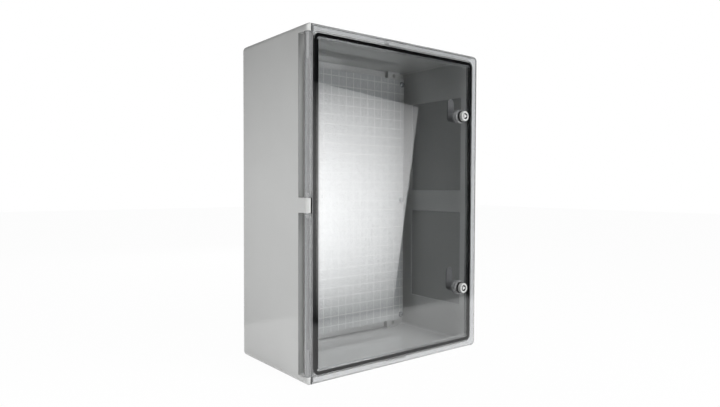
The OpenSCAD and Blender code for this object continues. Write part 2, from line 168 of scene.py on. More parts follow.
def colour(name, description, code):
    """A colour that a user can change, given as an sRGB hex code."""
    return bpy.props.FloatVectorProperty(
        name=name, description=description, default=linear(code), size=4, min=0, max=1, subtype="COLOR"
    )


class BodySizes(bpy.types.PropertyGroup):
    """Sizes of the moulded body"""

    half_width: length("Half width", "From the middle to a side face", BODY_HIGH.x)
    half_height: length("Half height", "From the middle to the top face", BODY_HIGH.z)
    corner: length("Corner", "Radius of the corners seen from the front", 8 * MM)
    back_edge: length("Back edge", "Radius of the edge round the back", 5 * MM)
    wall: length("Wall", "Thickness of the moulded walls", 3.5 * MM)
    flange: length("Flange", "Thickness of the flange behind the door", 3 * MM)
    lip: length("Lip", "Thickness of the lip that the gasket closes on", 2.2 * MM)
    lip_gap: length("Lip gap", "Gap between the gasket and the lip", 0.3 * MM)
    door_gap: length("Door gap", "Gap between the door's skirt and the flange", 0.5 * MM)
    field_depth: length("Field depth", "Depth of the thinned fields in the side walls", 0.6 * MM)
    field_band: length("Field band", "Height of the band between two fields", 39 * MM)
    field_end: length("Field end", "From the ends of the box to the fields", 66 * MM)
    field_margin: length("Field margin", "From the flange and the plate to the fields", 7 * MM)
    knuckle: length("Knuckle", "Radius of the hinge knuckles", 4.6 * MM)
    middle_knuckle: length("Middle knuckle", "Height of the middle knuckle", 21 * MM)
    end_knuckle: length("End knuckle", "Height of the top and bottom knuckles", 11.6 * MM)
    block_height: length("Block height", "How far the catch blocks stand out of the flange", 9.5 * MM)
    side_block: length("Side block", "Length of the block on the lock side", 60 * MM)
    end_block: length("End block", "Length of the blocks at the top and bottom", 40 * MM)
    block_gap: length("Block gap", "Gap between the blocks and the door", 1.6 * MM)
    post: length("Post", "Radius of the posts behind the plate", 6 * MM)
    insert: length("Insert", "Radius of the bore for a threaded insert", 4.05 * MM)
    insert_depth: length("Insert depth", "Depth of the bore for a threaded insert", 11 * MM)
    fixing: length("Fixing hole", "Radius of the wall fixing holes", 3.5 * MM)
    fixing_side: length("Fixing side", "From the side faces to the fixing holes", 36 * MM)
    fixing_end: length("Fixing end", "From the top and bottom faces to the fixing holes", 11 * MM)
    pad_width: length("Pad width", "Width of the pads round the fixing holes", 30 * MM)
    pad_height: length("Pad height", "Height of the pads round the fixing holes", 15.5 * MM)
    pad: length("Pad", "Thickness of the pads over the back wall", 8.5 * MM)
    soft_edge: length("Soft edge", "Width of the moulded edge rounding", 0.5 * MM)


class DoorSizes(bpy.types.PropertyGroup):
    """Sizes of the clear door, its gasket and its hinge pins"""

    panel: length("Panel", "Thickness of the clear panel", 3 * MM)
    skirt: length("Skirt", "Thickness of the skirt", 3 * MM)
    front_edge: length("Front edge", "Radius of the front edge", 4 * MM)
    boss: length("Lock boss", "Radius of the clear boss round a lock", 11.5 * MM)
    boss_front: length("Boss front", "How far the boss stands out of the front", 1 * MM)
    boss_back: length("Boss back", "How far the boss stands behind the panel", 4 * MM)
    lock_hole: length("Lock hole", "Radius of the hole for a lock", 8.2 * MM)
    rib: length("Rib", "Thickness of the ribs that hold the gasket", 2 * MM)
    rib_fit: length("Rib fit", "Gap between the gasket and the ribs", 0.1 * MM)
    rib_over: length("Rib over", "How far the ribs stand past the gasket", 1.3 * MM)
    rib_draft: length("Rib draft", "How much a rib thins on each side towards its tip", 0.2 * MM)
    gasket: length("Gasket", "Width of the gasket", 5 * MM)
    gasket_corner: length("Gasket corner", "Radius of the gasket's outer corners", 8 * MM)
    gasket_crown: length("Gasket crown", "Height of the gasket's round top", 1.6 * MM)
    hinge_gap: length("Hinge gap", "Gap between the knuckles and the door", 0.5 * MM)
    pin: length("Pin", "Radius of the hinge pins", 2 * MM)
    pin_play: length("Pin play", "Play round the hinge pins", 0.05 * MM)
    pin_chamfer: length("Pin chamfer", "Chamfer at the pins' ends", 0.4 * MM)
    web: length("Web", "Thickness of the webs beside the hinge", 2.2 * MM)
    web_height: length("Web height", "Height of the webs above the middle", 207.4 * MM)
    soft_edge: length("Soft edge", "Width of the moulded edge rounding", 0.35 * MM)


class LockSizes(bpy.types.PropertyGroup):
    """Sizes of the two quarter-turn locks"""

    head: length("Head", "Thickness of the lock's head", 6 * MM)
    head_rim: length("Head rim", "Radius of the head's rim", 1 * MM)
    head_draft: length("Head draft", "How much slimmer the head is than its seat", 0.7 * MM)
    shank: length("Shank", "Radius of the shank", 8 * MM)
    shank_fit: length("Shank fit", "Gap between the shank and the rings round it", 0.2 * MM)
    thread: length("Thread", "Pitch of the shank's thread", 1.5 * MM)
    key_bore: length("Key bore", "Radius of the bore for the rotor's head", 6 * MM)
    key_bore_depth: length("Key bore depth", "Depth of the bore for the rotor's head", 10 * MM)
    shaft_bore: length("Shaft bore", "Radius of the bore for the rotor's shaft", 4.5 * MM)
    key_rim: length("Key rim", "Thickness of the rotor's rim", 0.8 * MM)
    key_depth: length("Key depth", "Depth of the key recess", 8 * MM)
    key_side: length("Key side", "Side of the triangular key post", 8 * MM)
    play: length("Play", "Play round the rotor", 0.05 * MM)
    end_play: length("End play", "Play at the rotor's shoulder", 0.3 * MM)
    groove: length("Groove", "Width and depth of the groove for the sealing ring", 1.6 * MM)
    tang: length("Tang", "Width of the square tang", 6.2 * MM)
    soft_edge: length("Soft edge", "Width of the edge rounding", 0.3 * MM)


class PlateSizes(bpy.types.PropertyGroup):
    """Sizes of the mounting plate and of the screws"""

    corner: length("Corner", "Radius of the plate's corners", 3 * MM)
    hole: length("Hole", "Radius of the screw holes", 2.55 * MM)
    screw: length("Screw", "Radius of a plate screw", 2.5 * MM)
    screw_head: length("Screw head", "Radius of a plate screw's head", 4.5 * MM)
    screw_thread: length("Screw thread", "Pitch of a plate screw's thread", 0.8 * MM)
    cam_screw: length("Cam screw", "Radius of a cam screw", 2 * MM)
    cam_screw_thread: length("Cam screw thread", "Pitch of a cam screw's thread", 0.7 * MM)
    slot: length("Slot", "Width of the cross recess in a screw head", 1.1 * MM)
    slot_depth: length("Slot depth", "Depth of the cross recess", 1.5 * MM)
    grid_x: length("Grid across", "Spacing of the upright grid lines, three to 49 mm", 49 / 3 * MM)
    grid_z: length("Grid up", "Spacing of the level grid lines", 17 * MM)
    line: length("Line", "Width of a grid line", 1.2 * MM)
    soft_edge: length("Soft edge", "Width of the edge rounding", 0.3 * MM)


class Finishes(bpy.types.PropertyGroup):
    """Colours of the materials"""

    body: colour("Body", "Moulded light grey ABS", "c8c9c8")
    # Painted shade: the wall fields get a darker copy of the body's grey, so that they look shaded
    field: colour("Wall fields", "The thinned fields inside the side walls", "a6a7a6")
    shade: colour("Hinge recess", "The body in the shade of the hinge barrels", "a6a7a6")
    door: colour("Door", "Tint of the clear polycarbonate", "e6e7e8")
    barrel: colour("Door barrels", "Tint of the satin hinge barrels", "cacbcc")
    foam: colour("Foam", "Black foam gasket", "0c0c0d")
    pin: colour("Pins", "Grey polyamide", "bdbebd")
    lock: colour("Locks", "Light grey polyamide", "c0c1c0")
    # Painted shade: the dark grey in the key recess stands in for the shade inside it
    recess: colour("Key recess", "Dark recess round the key post", "38393a")
    rubber: colour("Rubber", "Black rubber", "151516")
    # Own colour of the nuts and cams; also painted on the lock housings' shanks behind the door as painted
    # shade
    dark: colour("Dark parts", "Dark grey polyamide", "6e6f70")
    zinc: colour("Zinc", "Zinc-plated steel", "c3c6c9")
    plate: colour("Plate", "Coated galvanised plate", "b4b6b6")
    line: colour("Grid lines", "Light lines on the plate", "cfd0cf")
    brass: colour("Brass", "Turned brass", "c8a45a")


class Studio(bpy.types.PropertyGroup):
    """The camera, the lights and the background"""

    camera: point("Camera", "Place of the camera", (-0.6069, -0.8576, 0.0272))
    turn: angle("Turn", "Camera's turn about the upright axis", -38.172)
    tilt: angle("Tilt", "Camera's tilt below the horizon", 1.736)
    roll: angle("Roll", "Camera's roll", 0.191)
    lens: amount("Lens", "Focal length in millimetres on a 36 mm sensor", 29.0015)
    floor: length("Floor", "Side of the floor", 12.0)
    floor_colour: colour("Floor colour", "The pale floor where it shows the shadow", "e8e8e8")
    floor_white: amount("Floor white", "Share of plain white in the floor, the rest shows the shadow", 0.975)
    table_front: length("Table front", "Where the bright floor ends in front, as mirrored", -0.49)
    table_back: length("Table back", "Where the bright floor ends behind, as mirrored", 0.2)
    table_fade: length("Table fade", "Width over which the bright floor ends", 0.08)
    ambient_back: amount("Backdrop light", "Soft light from the backdrop's side", 0.15)
    ambient_front: amount("Front light", "Soft light from the camera's side", 0.13)
    mirror_back: amount("Backdrop reflection", "How bright the backdrop's foot looks in reflections", 0.57)
    mirror_high: amount("High reflection", "How bright the backdrop's upper part looks in reflections", 0.05)
    mirror_left: amount("Left reflection", "How bright the room's hinge side looks in reflections", 0.8)
    mirror_right: amount("Right reflection", "How bright the room's lock side looks in reflections", 0.02)
    side_place: point("Side light", "Place of the light on the hinge side", (-0.675, -0.15, 0.05))
    side_aim: point("Side aim", "Where the side light points", (-0.175, -0.15, 0.05))
    side_size: length("Side size", "Side of the side light", 0.25)
    side_power: amount("Side power", "Power of the side light", 1.5)
    top_place: point("Top light", "Place of the light above the front", (0.1, -0.8, 1.1))
    top_aim: point("Top aim", "Where the top light points", (0.0, -0.08, -0.15))
    top_size: length("Top size", "Side of the top light", 0.5)
    top_power: amount("Top power", "Power of the top light", 10.6)
    front_place: point("Front light", "Place of the light in front", (0.2, -1.2, -0.1))
    front_aim: point("Front aim", "Where the front light points", (0.0, -0.08, 0.0))
    front_size: length("Front size", "Side of the front light", 0.5)
    front_power: amount("Front power", "Power of the front light", 7.5)
    back_place: point("Back light", "Place of the light behind the box", (0.5, 1.4, 0.5))
    back_aim: point("Back aim", "Where the back light points", (0.0, 0.0, 0.0))
    back_size: length("Back size", "Side of the back light", 0.6)
    back_power: amount("Back power", "Power of the back light", 10.0)
    card_upper_left: point("Upper left", "Upper left corner of the softbox", (0.44, -1.19, 0.39))
    card_upper_right: point("Upper right", "Upper right corner of the softbox", (0.997, -1.19, 0.339))
    card_lower_right: point("Lower right", "Lower right corner of the softbox", (0.868, -1.19, -0.445))
    card_lower_left: point("Lower left", "Lower left corner of the softbox", (0.44, -1.19, -0.44))
    card_glow: amount("Softbox glow", "Brightest part of the softbox", 7.7)
    card_fade: amount("Softbox fade", "Share of the glow left at the softbox's far side", 0.35)
    card_middle: length("Softbox middle", "Height at which the softbox glows most", -0.02)
    card_bow: length("Softbox bow", "How far from there the softbox's glow would end", 0.43)
    card_fall: amount("Softbox fall", "How steeply the softbox's glow falls towards its ends", 2.2)
    card_rim: length("Softbox rim", "Where the softbox's dim near rim ends", 0.52)
    card_rim_blur: length("Rim blur", "Half the width over which the dim rim ends", 0.01)
    card_rim_glow: amount("Rim glow", "Share of the glow on the dim rim", 0.18)


GROUPS = {
    "box_body": BodySizes, "box_door": DoorSizes, "box_locks": LockSizes,
    "box_plate": PlateSizes, "box_finishes": Finishes, "box_studio": Studio,
}


def select(*pieces):
    """Selects only these pieces and makes the first one active."""
    bpy.ops.object.select_all(action="DESELECT")
    for piece in pieces:
        piece.select_set(True)
    bpy.context.view_layer.objects.active = pieces[0]


def open_piece(piece):
    """Opens one piece in edit mode with nothing selected."""
    select(piece)
    bpy.ops.object.mode_set(mode="EDIT")
    bpy.ops.mesh.select_all(action="DESELECT")


def close_piece():
    """Makes the normals of the piece in edit mode point outwards and leaves edit mode."""
    bpy.ops.mesh.select_all(action="SELECT")
    bpy.ops.mesh.normals_make_consistent(inside=False)
    bpy.ops.object.mode_set(mode="OBJECT")


def pick(piece, kind, test, along=None):
    """Selects the verts, edges or faces of the piece in edit mode whose corners all pass a test.

    The test is given the place of a corner. Edges may also have to run along a given direction.
    """
    bpy.context.tool_settings.mesh_select_mode = [kind == name for name in ("verts", "edges", "faces")]
    bpy.ops.mesh.select_all(action="DESELECT")
    mesh = bmesh.from_edit_mesh(piece.data)
    found = [part for part in getattr(mesh, kind) if all(test(v.co) for v in getattr(part, "verts", [part]))]
    if along:
        found = [edge for edge in found if (edge.verts[0].co - edge.verts[1].co).cross(along).length < NEAR]
    if not found:
        raise RuntimeError(f"{piece.name}: no {kind} found to shape")
    for part in found:
        part.select_set(True)
    mesh.select_flush_mode()
    bmesh.update_edit_mesh(piece.data)


def added(name):
    """Names the primitive that was just added and puts its place, turn and size into its mesh."""
    piece = bpy.context.object
    piece.name = name
    bpy.ops.object.transform_apply(location=True, rotation=True, scale=True)
    return piece


def block(name, low, high):
    """Adds a cube and sizes it to fill the space between two corners."""
    low, high = Vector(low), Vector(high)
    bpy.ops.mesh.primitive_cube_add(size=1, location=(low + high) / 2)
    bpy.context.object.scale = high - low
    return added(name)


def rod(name, radius, start, end, sides=TURN_STEPS):
    """Adds a cylinder between two points."""
    start, end = Vector(start), Vector(end)
    line = end - start
    bpy.ops.mesh.primitive_cylinder_add(
        vertices=sides, radius=radius, depth=line.length, location=(start + end) / 2,
        rotation=line.to_track_quat("Z", "X").to_euler()
    )
    return added(name)


def peg(name, radius, place, low, high, sides=TURN_STEPS):
    """Adds a cylinder that runs from front to back through a place, between two depths."""
    return rod(name, radius, (place.x, low, place.z), (place.x, high, place.z), sides)


def hinge_rod(name, radius, low, high):
    """Adds a cylinder on the hinge's axis, between two heights."""
    return rod(name, radius, (HINGE.x, HINGE.y, low), (HINGE.x, HINGE.y, high))


def loft(name, sections, closed=False, centre=(0, 0)):
    """Models a shell through rounded rectangles (half width, half height, corner radius, depth).

    Planes with bevelled corners are bridged one to the next while they stand well apart, and each is then
    moved to its depth. A closed loft joins the last to the first, and an open one gets a face at each end.
    """
    apart = [SPREAD + SPREAD_STEP * i for i in range(len(sections))]
    bpy.ops.object.select_all(action="DESELECT")
    for i, (half_x, half_z, radius, _) in enumerate(sections):
        bpy.ops.mesh.primitive_plane_add(size=2, location=(0, apart[i], 0), rotation=(math.pi / 2, 0, 0))
        if i == 0:
            piece = added(name)
            bpy.ops.object.mode_set(mode="EDIT")
            bpy.context.tool_settings.mesh_select_mode = (True, False, False)
            bpy.ops.mesh.select_all(action="SELECT")
        bpy.ops.transform.resize(value=(half_x, 1, half_z), center_override=(0, apart[i], 0))
        bpy.ops.mesh.bevel(offset=radius, segments=CORNER_STEPS, affect="VERTICES")
        bpy.ops.mesh.delete(type="ONLY_FACE")
        bpy.ops.mesh.select_all(action="DESELECT")
    pairs = list(zip(apart, apart[1:]))
    if closed:
        pairs.append((apart[-1], apart[0]))
    for pair in pairs:
        pick(piece, "edges", lambda place: min(abs(place.y - y) for y in pair) < NEAR)
        bpy.ops.mesh.bridge_edge_loops()
    if not closed:
        for end in (apart[0], apart[-1]):
            pick(piece, "edges", lambda place: abs(place.y - end) < NEAR)
            bpy.ops.mesh.edge_face_add()
    for y, (_, _, _, depth) in zip(apart, sections):
        pick(piece, "verts", lambda place: abs(place.y - y) < NEAR)
        bpy.ops.transform.translate(value=(centre[0], depth - y, centre[1]))
    close_piece()
    return piece


def shrink(outline, inset):
    """A rounded rectangle moved inwards all round."""
    half_x, half_z, radius = outline
    return half_x - inset, half_z - inset, max(radius - inset, OVERLAP / 2)


def arc(turn=math.pi / 2, steps=EDGE_STEPS):
    """Angles from zero to a turn in even steps."""
    return [turn * i / steps for i in range(steps + 1)]


def edge_round(outline, depth, edge, way):
    """Sections round an edge, from a face to the side of an outline.

    The way, 1 or -1, is the side's direction from the face.
    """
    return [
        (*shrink(outline, edge * (1 - math.sin(a))), depth + way * edge * (1 - math.cos(a))) for a in arc()
    ]


def lathe(name, profile, centre, axis=Vector((0, 1, 0))):
    """Turns a profile of (radius, distance along the axis) points into a round piece."""
    across = Vector((1, 0, 0))
    bpy.ops.object.select_all(action="DESELECT")
    bpy.ops.mesh.primitive_plane_add(size=MM)
    piece = added(name)
    bpy.ops.object.mode_set(mode="EDIT")
    bpy.context.tool_settings.mesh_select_mode = (True, False, False)
    bpy.ops.mesh.select_all(action="SELECT")
    bpy.ops.mesh.merge(type="CENTER")
    here = Vector((0, 0, 0))
    for i, (radius, along) in enumerate(profile):
        place = Vector(centre) + across * radius + axis * along
        if i > 0:
            bpy.ops.mesh.extrude_verts_indiv()
        bpy.ops.transform.translate(value=place - here)
        here = place
    bpy.ops.mesh.select_all(action="SELECT")
    bpy.ops.mesh.spin(steps=TURN_STEPS, angle=2 * math.pi, center=centre, axis=axis)
    bpy.ops.mesh.select_all(action="SELECT")
    bpy.ops.mesh.remove_doubles(threshold=NEAR / 2)
    close_piece()
    return piece


def rim(radius, along, edge, way):
    """Profile points of a round outer edge: from the face of a turned piece to its side."""
    return [(radius - edge * (1 - math.sin(a)), along + way * edge * (1 - math.cos(a))) for a in arc()]


def thread(radius, start, end, pitch):
    """Profile points of a threaded stretch, as rings: the thread is too fine for its slope to show."""
    count = max(1, round(abs(end - start) / pitch))
    step = (end - start) / count
    points = []
    for i in range(count):
        points.append((radius, start + step * (i + THREAD_CREST)))
        points.append((radius - pitch * THREAD_DEPTH, start + step * (i + THREAD_ROOT)))
    return points + [(radius, end)]


def merge_into(first, *others):
    """Joins separate tools into one object."""
    select(first, *others)
    if others:
        bpy.ops.object.join()
    return first


def apply(piece, kind, **settings):
    """Adds a modifier, sets it and applies it."""
    modifier = piece.modifiers.new(kind.lower(), kind)
    for name, value in settings.items():
        setattr(modifier, name, value)
    select(piece)
    bpy.ops.object.modifier_apply(modifier=modifier.name)


def shape(piece, operation, *tools):
    """Adds tools to a piece, cuts it by them or keeps what lies inside them, and removes the tools."""
    tool = merge_into(*tools)
    apply(piece, "BOOLEAN", operation=operation, solver="EXACT", object=tool)
    bpy.data.objects.remove(tool)


def soften(piece, width):
    """Rounds the sharp edges a little and gives even shading on the flats."""
    if width:
        apply(
            piece, "BEVEL", width=width, segments=BEVEL_STEPS, limit_method="ANGLE",
            angle_limit=BEVEL_ANGLE, use_clamp_overlap=False
        )
    select(piece)
    bpy.ops.object.shade_smooth_by_angle(angle=SMOOTH_ANGLE)
    apply(piece, "WEIGHTED_NORMAL", keep_sharp=True, weight=FLAT_WEIGHT)


def copy_of(piece, name, move):
    """Copies a piece, with a mesh of its own, to another place."""
    select(piece)
    bpy.ops.object.duplicate()
    bpy.ops.transform.translate(value=move)
    return added(name)


def dress(piece, finish, body, slot, *nodes):
    """Gives a piece its material, its body and the CAD nodes that it stands for."""
    if not piece.data.polygons:
        raise RuntimeError(f"{piece.name} has no faces")
    piece.data.materials.clear()
    piece.data.materials.append(finish)
    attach(piece, body)
    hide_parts(*nodes)


def paint(piece, finish, test):
    """Gives a second material to the faces of a piece whose corners all pass a test of their place."""
    piece.data.materials.append(finish)
    open_piece(piece)
    pick(piece, "faces", test)
    piece.active_material_index = len(piece.data.materials) - 1
    bpy.ops.object.material_slot_assign()
    bpy.ops.object.mode_set(mode="OBJECT")


def repaint(finish, *nodes):
    """Gives CAD nodes whose shape is right a better material."""
    for name in nodes:
        for place in frame["nodes"][name].material_slots:
            place.material = finish


def add_node(tree, kind, inputs=None, **settings):
    """Adds a node with its settings, and sets or links its inputs."""
    node = tree.nodes.new(kind)
    for name, value in settings.items():
        setattr(node, name, value)
    for name, value in (inputs or {}).items():
        if isinstance(value, bpy.types.NodeSocket):
            tree.links.new(value, node.inputs[name])
        else:
            node.inputs[name].default_value = value
    return node


def empty_tree(owner):
    """Gives a material or a world a node tree with nothing in it."""
    owner.use_nodes = True
    owner.node_tree.nodes.clear()
    return owner.node_tree


def new_material(name, **values):
    """A material with one Principled shader, its tree, the shader and Object coordinates."""
    finish = bpy.data.materials.get(name) or bpy.data.materials.new(name)
    tree = empty_tree(finish)
    inputs = {key.replace("_", " ").title().replace("Ior", "IOR"): value for key, value in values.items()}
    shader = add_node(tree, "ShaderNodeBsdfPrincipled", inputs)
    add_node(tree, "ShaderNodeOutputMaterial", {"Surface": shader.outputs["BSDF"]})
    place = add_node(tree, "ShaderNodeTexCoord").outputs["Object"]
    return finish, tree, shader, place


def vary(tree, place, size, low, high, detail=2.0):
    """A soft noise with features of a real size, spread from a low to a high value."""
    noise = add_node(tree, "ShaderNodeTexNoise", {"Vector": place, "Scale": 1 / size, "Detail": detail})
    return add_node(tree, "ShaderNodeMapRange", {
        "Value": noise.outputs["Fac"], "From Min": NOISE_LOW, "From Max": NOISE_HIGH,
        "To Min": low, "To Max": high
    }).outputs["Result"]


def raise_surface(tree, shader, height, distance):
    """Links a height pattern to the shader's normal."""
    bump = add_node(tree, "ShaderNodeBump", {"Height": height, "Distance": distance, "Strength": 1.0})
    tree.links.new(bump.outputs["Normal"], shader.inputs["Normal"])


def shade_colour(tree, shader, base, factor):
    """Multiplies the shader's colour by a pattern close to one."""
    mixed = add_node(tree, "ShaderNodeVectorMath", {0: base[:3], "Scale": factor}, operation="SCALE")
    tree.links.new(mixed.outputs["Vector"], shader.inputs["Base Color"])


def mottled(name, rough, base=None, tone=None, grain=None, **values):
    """A material whose roughness, and often its colour and height, vary softly over its surface.

    Rough and tone give the size, low and high for vary. Grain gives the size and how far the surface rises.
    """
    finish, tree, shader, place = new_material(name, **values)
    tree.links.new(vary(tree, place, *rough), shader.inputs["Roughness"])
    if tone:
        shade_colour(tree, shader, base, vary(tree, place, *tone))
    if grain:
        size, rise, *detail = grain
        raise_surface(tree, shader, vary(tree, place, size, 0, 1, *detail), rise)
    return finish


def moulded_abs(name, base):
    """Injection-moulded ABS: an even, glossy grey with a faint orange peel and slightly uneven polish."""
    return mottled(
        name, base=base, tone=(90 * MM, 0.985, 1.015), rough=(35 * MM, 0.03, 0.06),
        grain=(30 * MM, 0.004 * MM), ior=1.6, specular_ior_level=0.8
    )


def clear_polycarbonate(base):
    """Moulded clear polycarbonate with a light grey tint: sharp reflections and a trace of flow waviness."""
    return mottled(
        "clear_polycarbonate", rough=(60 * MM, 0.0, 0.02), grain=(70 * MM, 0.012 * MM, 1.0),
        base_color=base, transmission_weight=1.0, ior=POLYCARBONATE_IOR
    )


def satin_polycarbonate(name, base, clear):
    """Polycarbonate from an eroded mould face, which scatters light, so that it looks a little milky."""
    return mottled(
        name, rough=(8 * MM, 0.1, 0.16), base_color=base, transmission_weight=clear, ior=POLYCARBONATE_IOR
    )


def foamed_gasket(base):
    """Foamed-in-place polyurethane: a dull black skin over fine cells."""
    cell, rise = 0.6 * MM, 0.05 * MM
    finish, tree, shader, place = new_material("black_polyurethane_foam", specular_ior_level=0.1)
    shade_colour(tree, shader, base, vary(tree, place, 4 * MM, 0.7, 1.3))
    tree.links.new(vary(tree, place, 3 * MM, 0.75, 0.95), shader.inputs["Roughness"])
    cells = add_node(tree, "ShaderNodeTexVoronoi", {"Vector": place, "Scale": 1 / cell})
    raise_surface(tree, shader, cells.outputs["Distance"], rise)
    return finish


def moulded_polyamide(name, base):
    """Moulded polyamide: a satin face with the fine grain of a spark-eroded mould."""
    return mottled(
        name, base=base, tone=(12 * MM, 0.96, 1.04), rough=(5 * MM, 0.36, 0.48),
        grain=(0.5 * MM, 0.01 * MM), ior=1.53
    )


def moulded_rubber(base):
    """Moulded rubber: deep black with a soft, slightly mottled sheen."""
    return mottled(
        "black_rubber", base=base, tone=(6 * MM, 0.8, 1.25), rough=(2 * MM, 0.55, 0.75),
        grain=(0.4 * MM, 0.01 * MM), specular_ior_level=0.35
    )


def zinc_plated(base):
    """Bright zinc on steel: a cool metal with a patchy polish and fine handling marks."""
    return mottled(
        "zinc_plated_steel", base=base, tone=(3 * MM, 0.88, 1.08), rough=(1.5 * MM, 0.14, 0.28, 4.0),
        grain=(0.3 * MM, 0.004 * MM), metallic=1.0
    )


def turned_brass(base):
    """Turned brass: a warm metal with an uneven, half-bright polish."""
    return mottled(
        "turned_brass", base=base, tone=(4 * MM, 0.9, 1.05), rough=(1 * MM, 0.25, 0.4), metallic=1.0
    )


def grid_lines(tree, along, spacing, width):
    """One where a coordinate lies on a line that repeats at a spacing, and zero elsewhere."""
    wave = add_node(tree, "ShaderNodeMath", {0: along, 1: spacing / 2}, operation="PINGPONG").outputs[0]
    return add_node(tree, "ShaderNodeMath", {0: wave, 1: width / 2}, operation="LESS_THAN").outputs[0]


def gridded_plate(base, line, sizes):
    """Coated galvanised sheet: a satin grey with a soft spangle and a light grid for laying out."""
    finish, tree, shader, place = new_material("coated_galvanised_sheet", ior=1.5, specular_ior_level=0.3)
    axes = add_node(tree, "ShaderNodeSeparateXYZ", {"Vector": place})
    across = grid_lines(tree, axes.outputs["X"], sizes.grid_x, sizes.line)
    up = grid_lines(tree, axes.outputs["Z"], sizes.grid_z, sizes.line)
    marked = add_node(tree, "ShaderNodeMath", {0: across, 1: up}, operation="MAXIMUM").outputs[0]
    grain = 9 * MM
    spangle = add_node(tree, "ShaderNodeTexVoronoi", {"Vector": place, "Scale": 1 / grain})
    tone = add_node(tree, "ShaderNodeMapRange", {
        "Value": spangle.outputs["Distance"], "To Min": 0.96, "To Max": 1.04
    }).outputs["Result"]
    sheet = add_node(tree, "ShaderNodeVectorMath", {
        0: base[:3], "Scale": tone
    }, operation="SCALE").outputs["Vector"]
    mixed = add_node(tree, "ShaderNodeMix", {"Factor": marked, "A": sheet, "B": line}, data_type="RGBA")
    tree.links.new(mixed.outputs["Result"], shader.inputs["Base Color"])
    tree.links.new(vary(tree, place, 20 * MM, 0.55, 0.7), shader.inputs["Roughness"])
    return finish


def hinge_block(name, sizes, low, high):
    """A hinge knuckle: a block with a round front, between two heights."""
    radius = sizes.knuckle
    front = HINGE.y - radius
    step = DOOR_HIGH.y + sizes.door_gap
    piece = block(name, (-sizes.half_width, front, low), (HINGE.x + radius, step + OVERLAP, high))
    open_piece(piece)
    pick(piece, "edges", lambda place: abs(place.y - front) < NEAR, along=Vector((0, 0, 1)))
    bpy.ops.mesh.bevel(offset=radius * KNUCKLE_ROUND, segments=CORNER_STEPS, affect="EDGES")
    close_piece()
    return piece


def plate_screw_places(sizes):
    """The six plate screws, seen from the front."""
    side = SCREWS_HIGH.x - sizes.screw_head
    end = SCREWS_HIGH.z - sizes.screw_head
    return [Vector((x * side, PLATE_LOW.y, row * end)) for x in SIDES for row in ROWS]


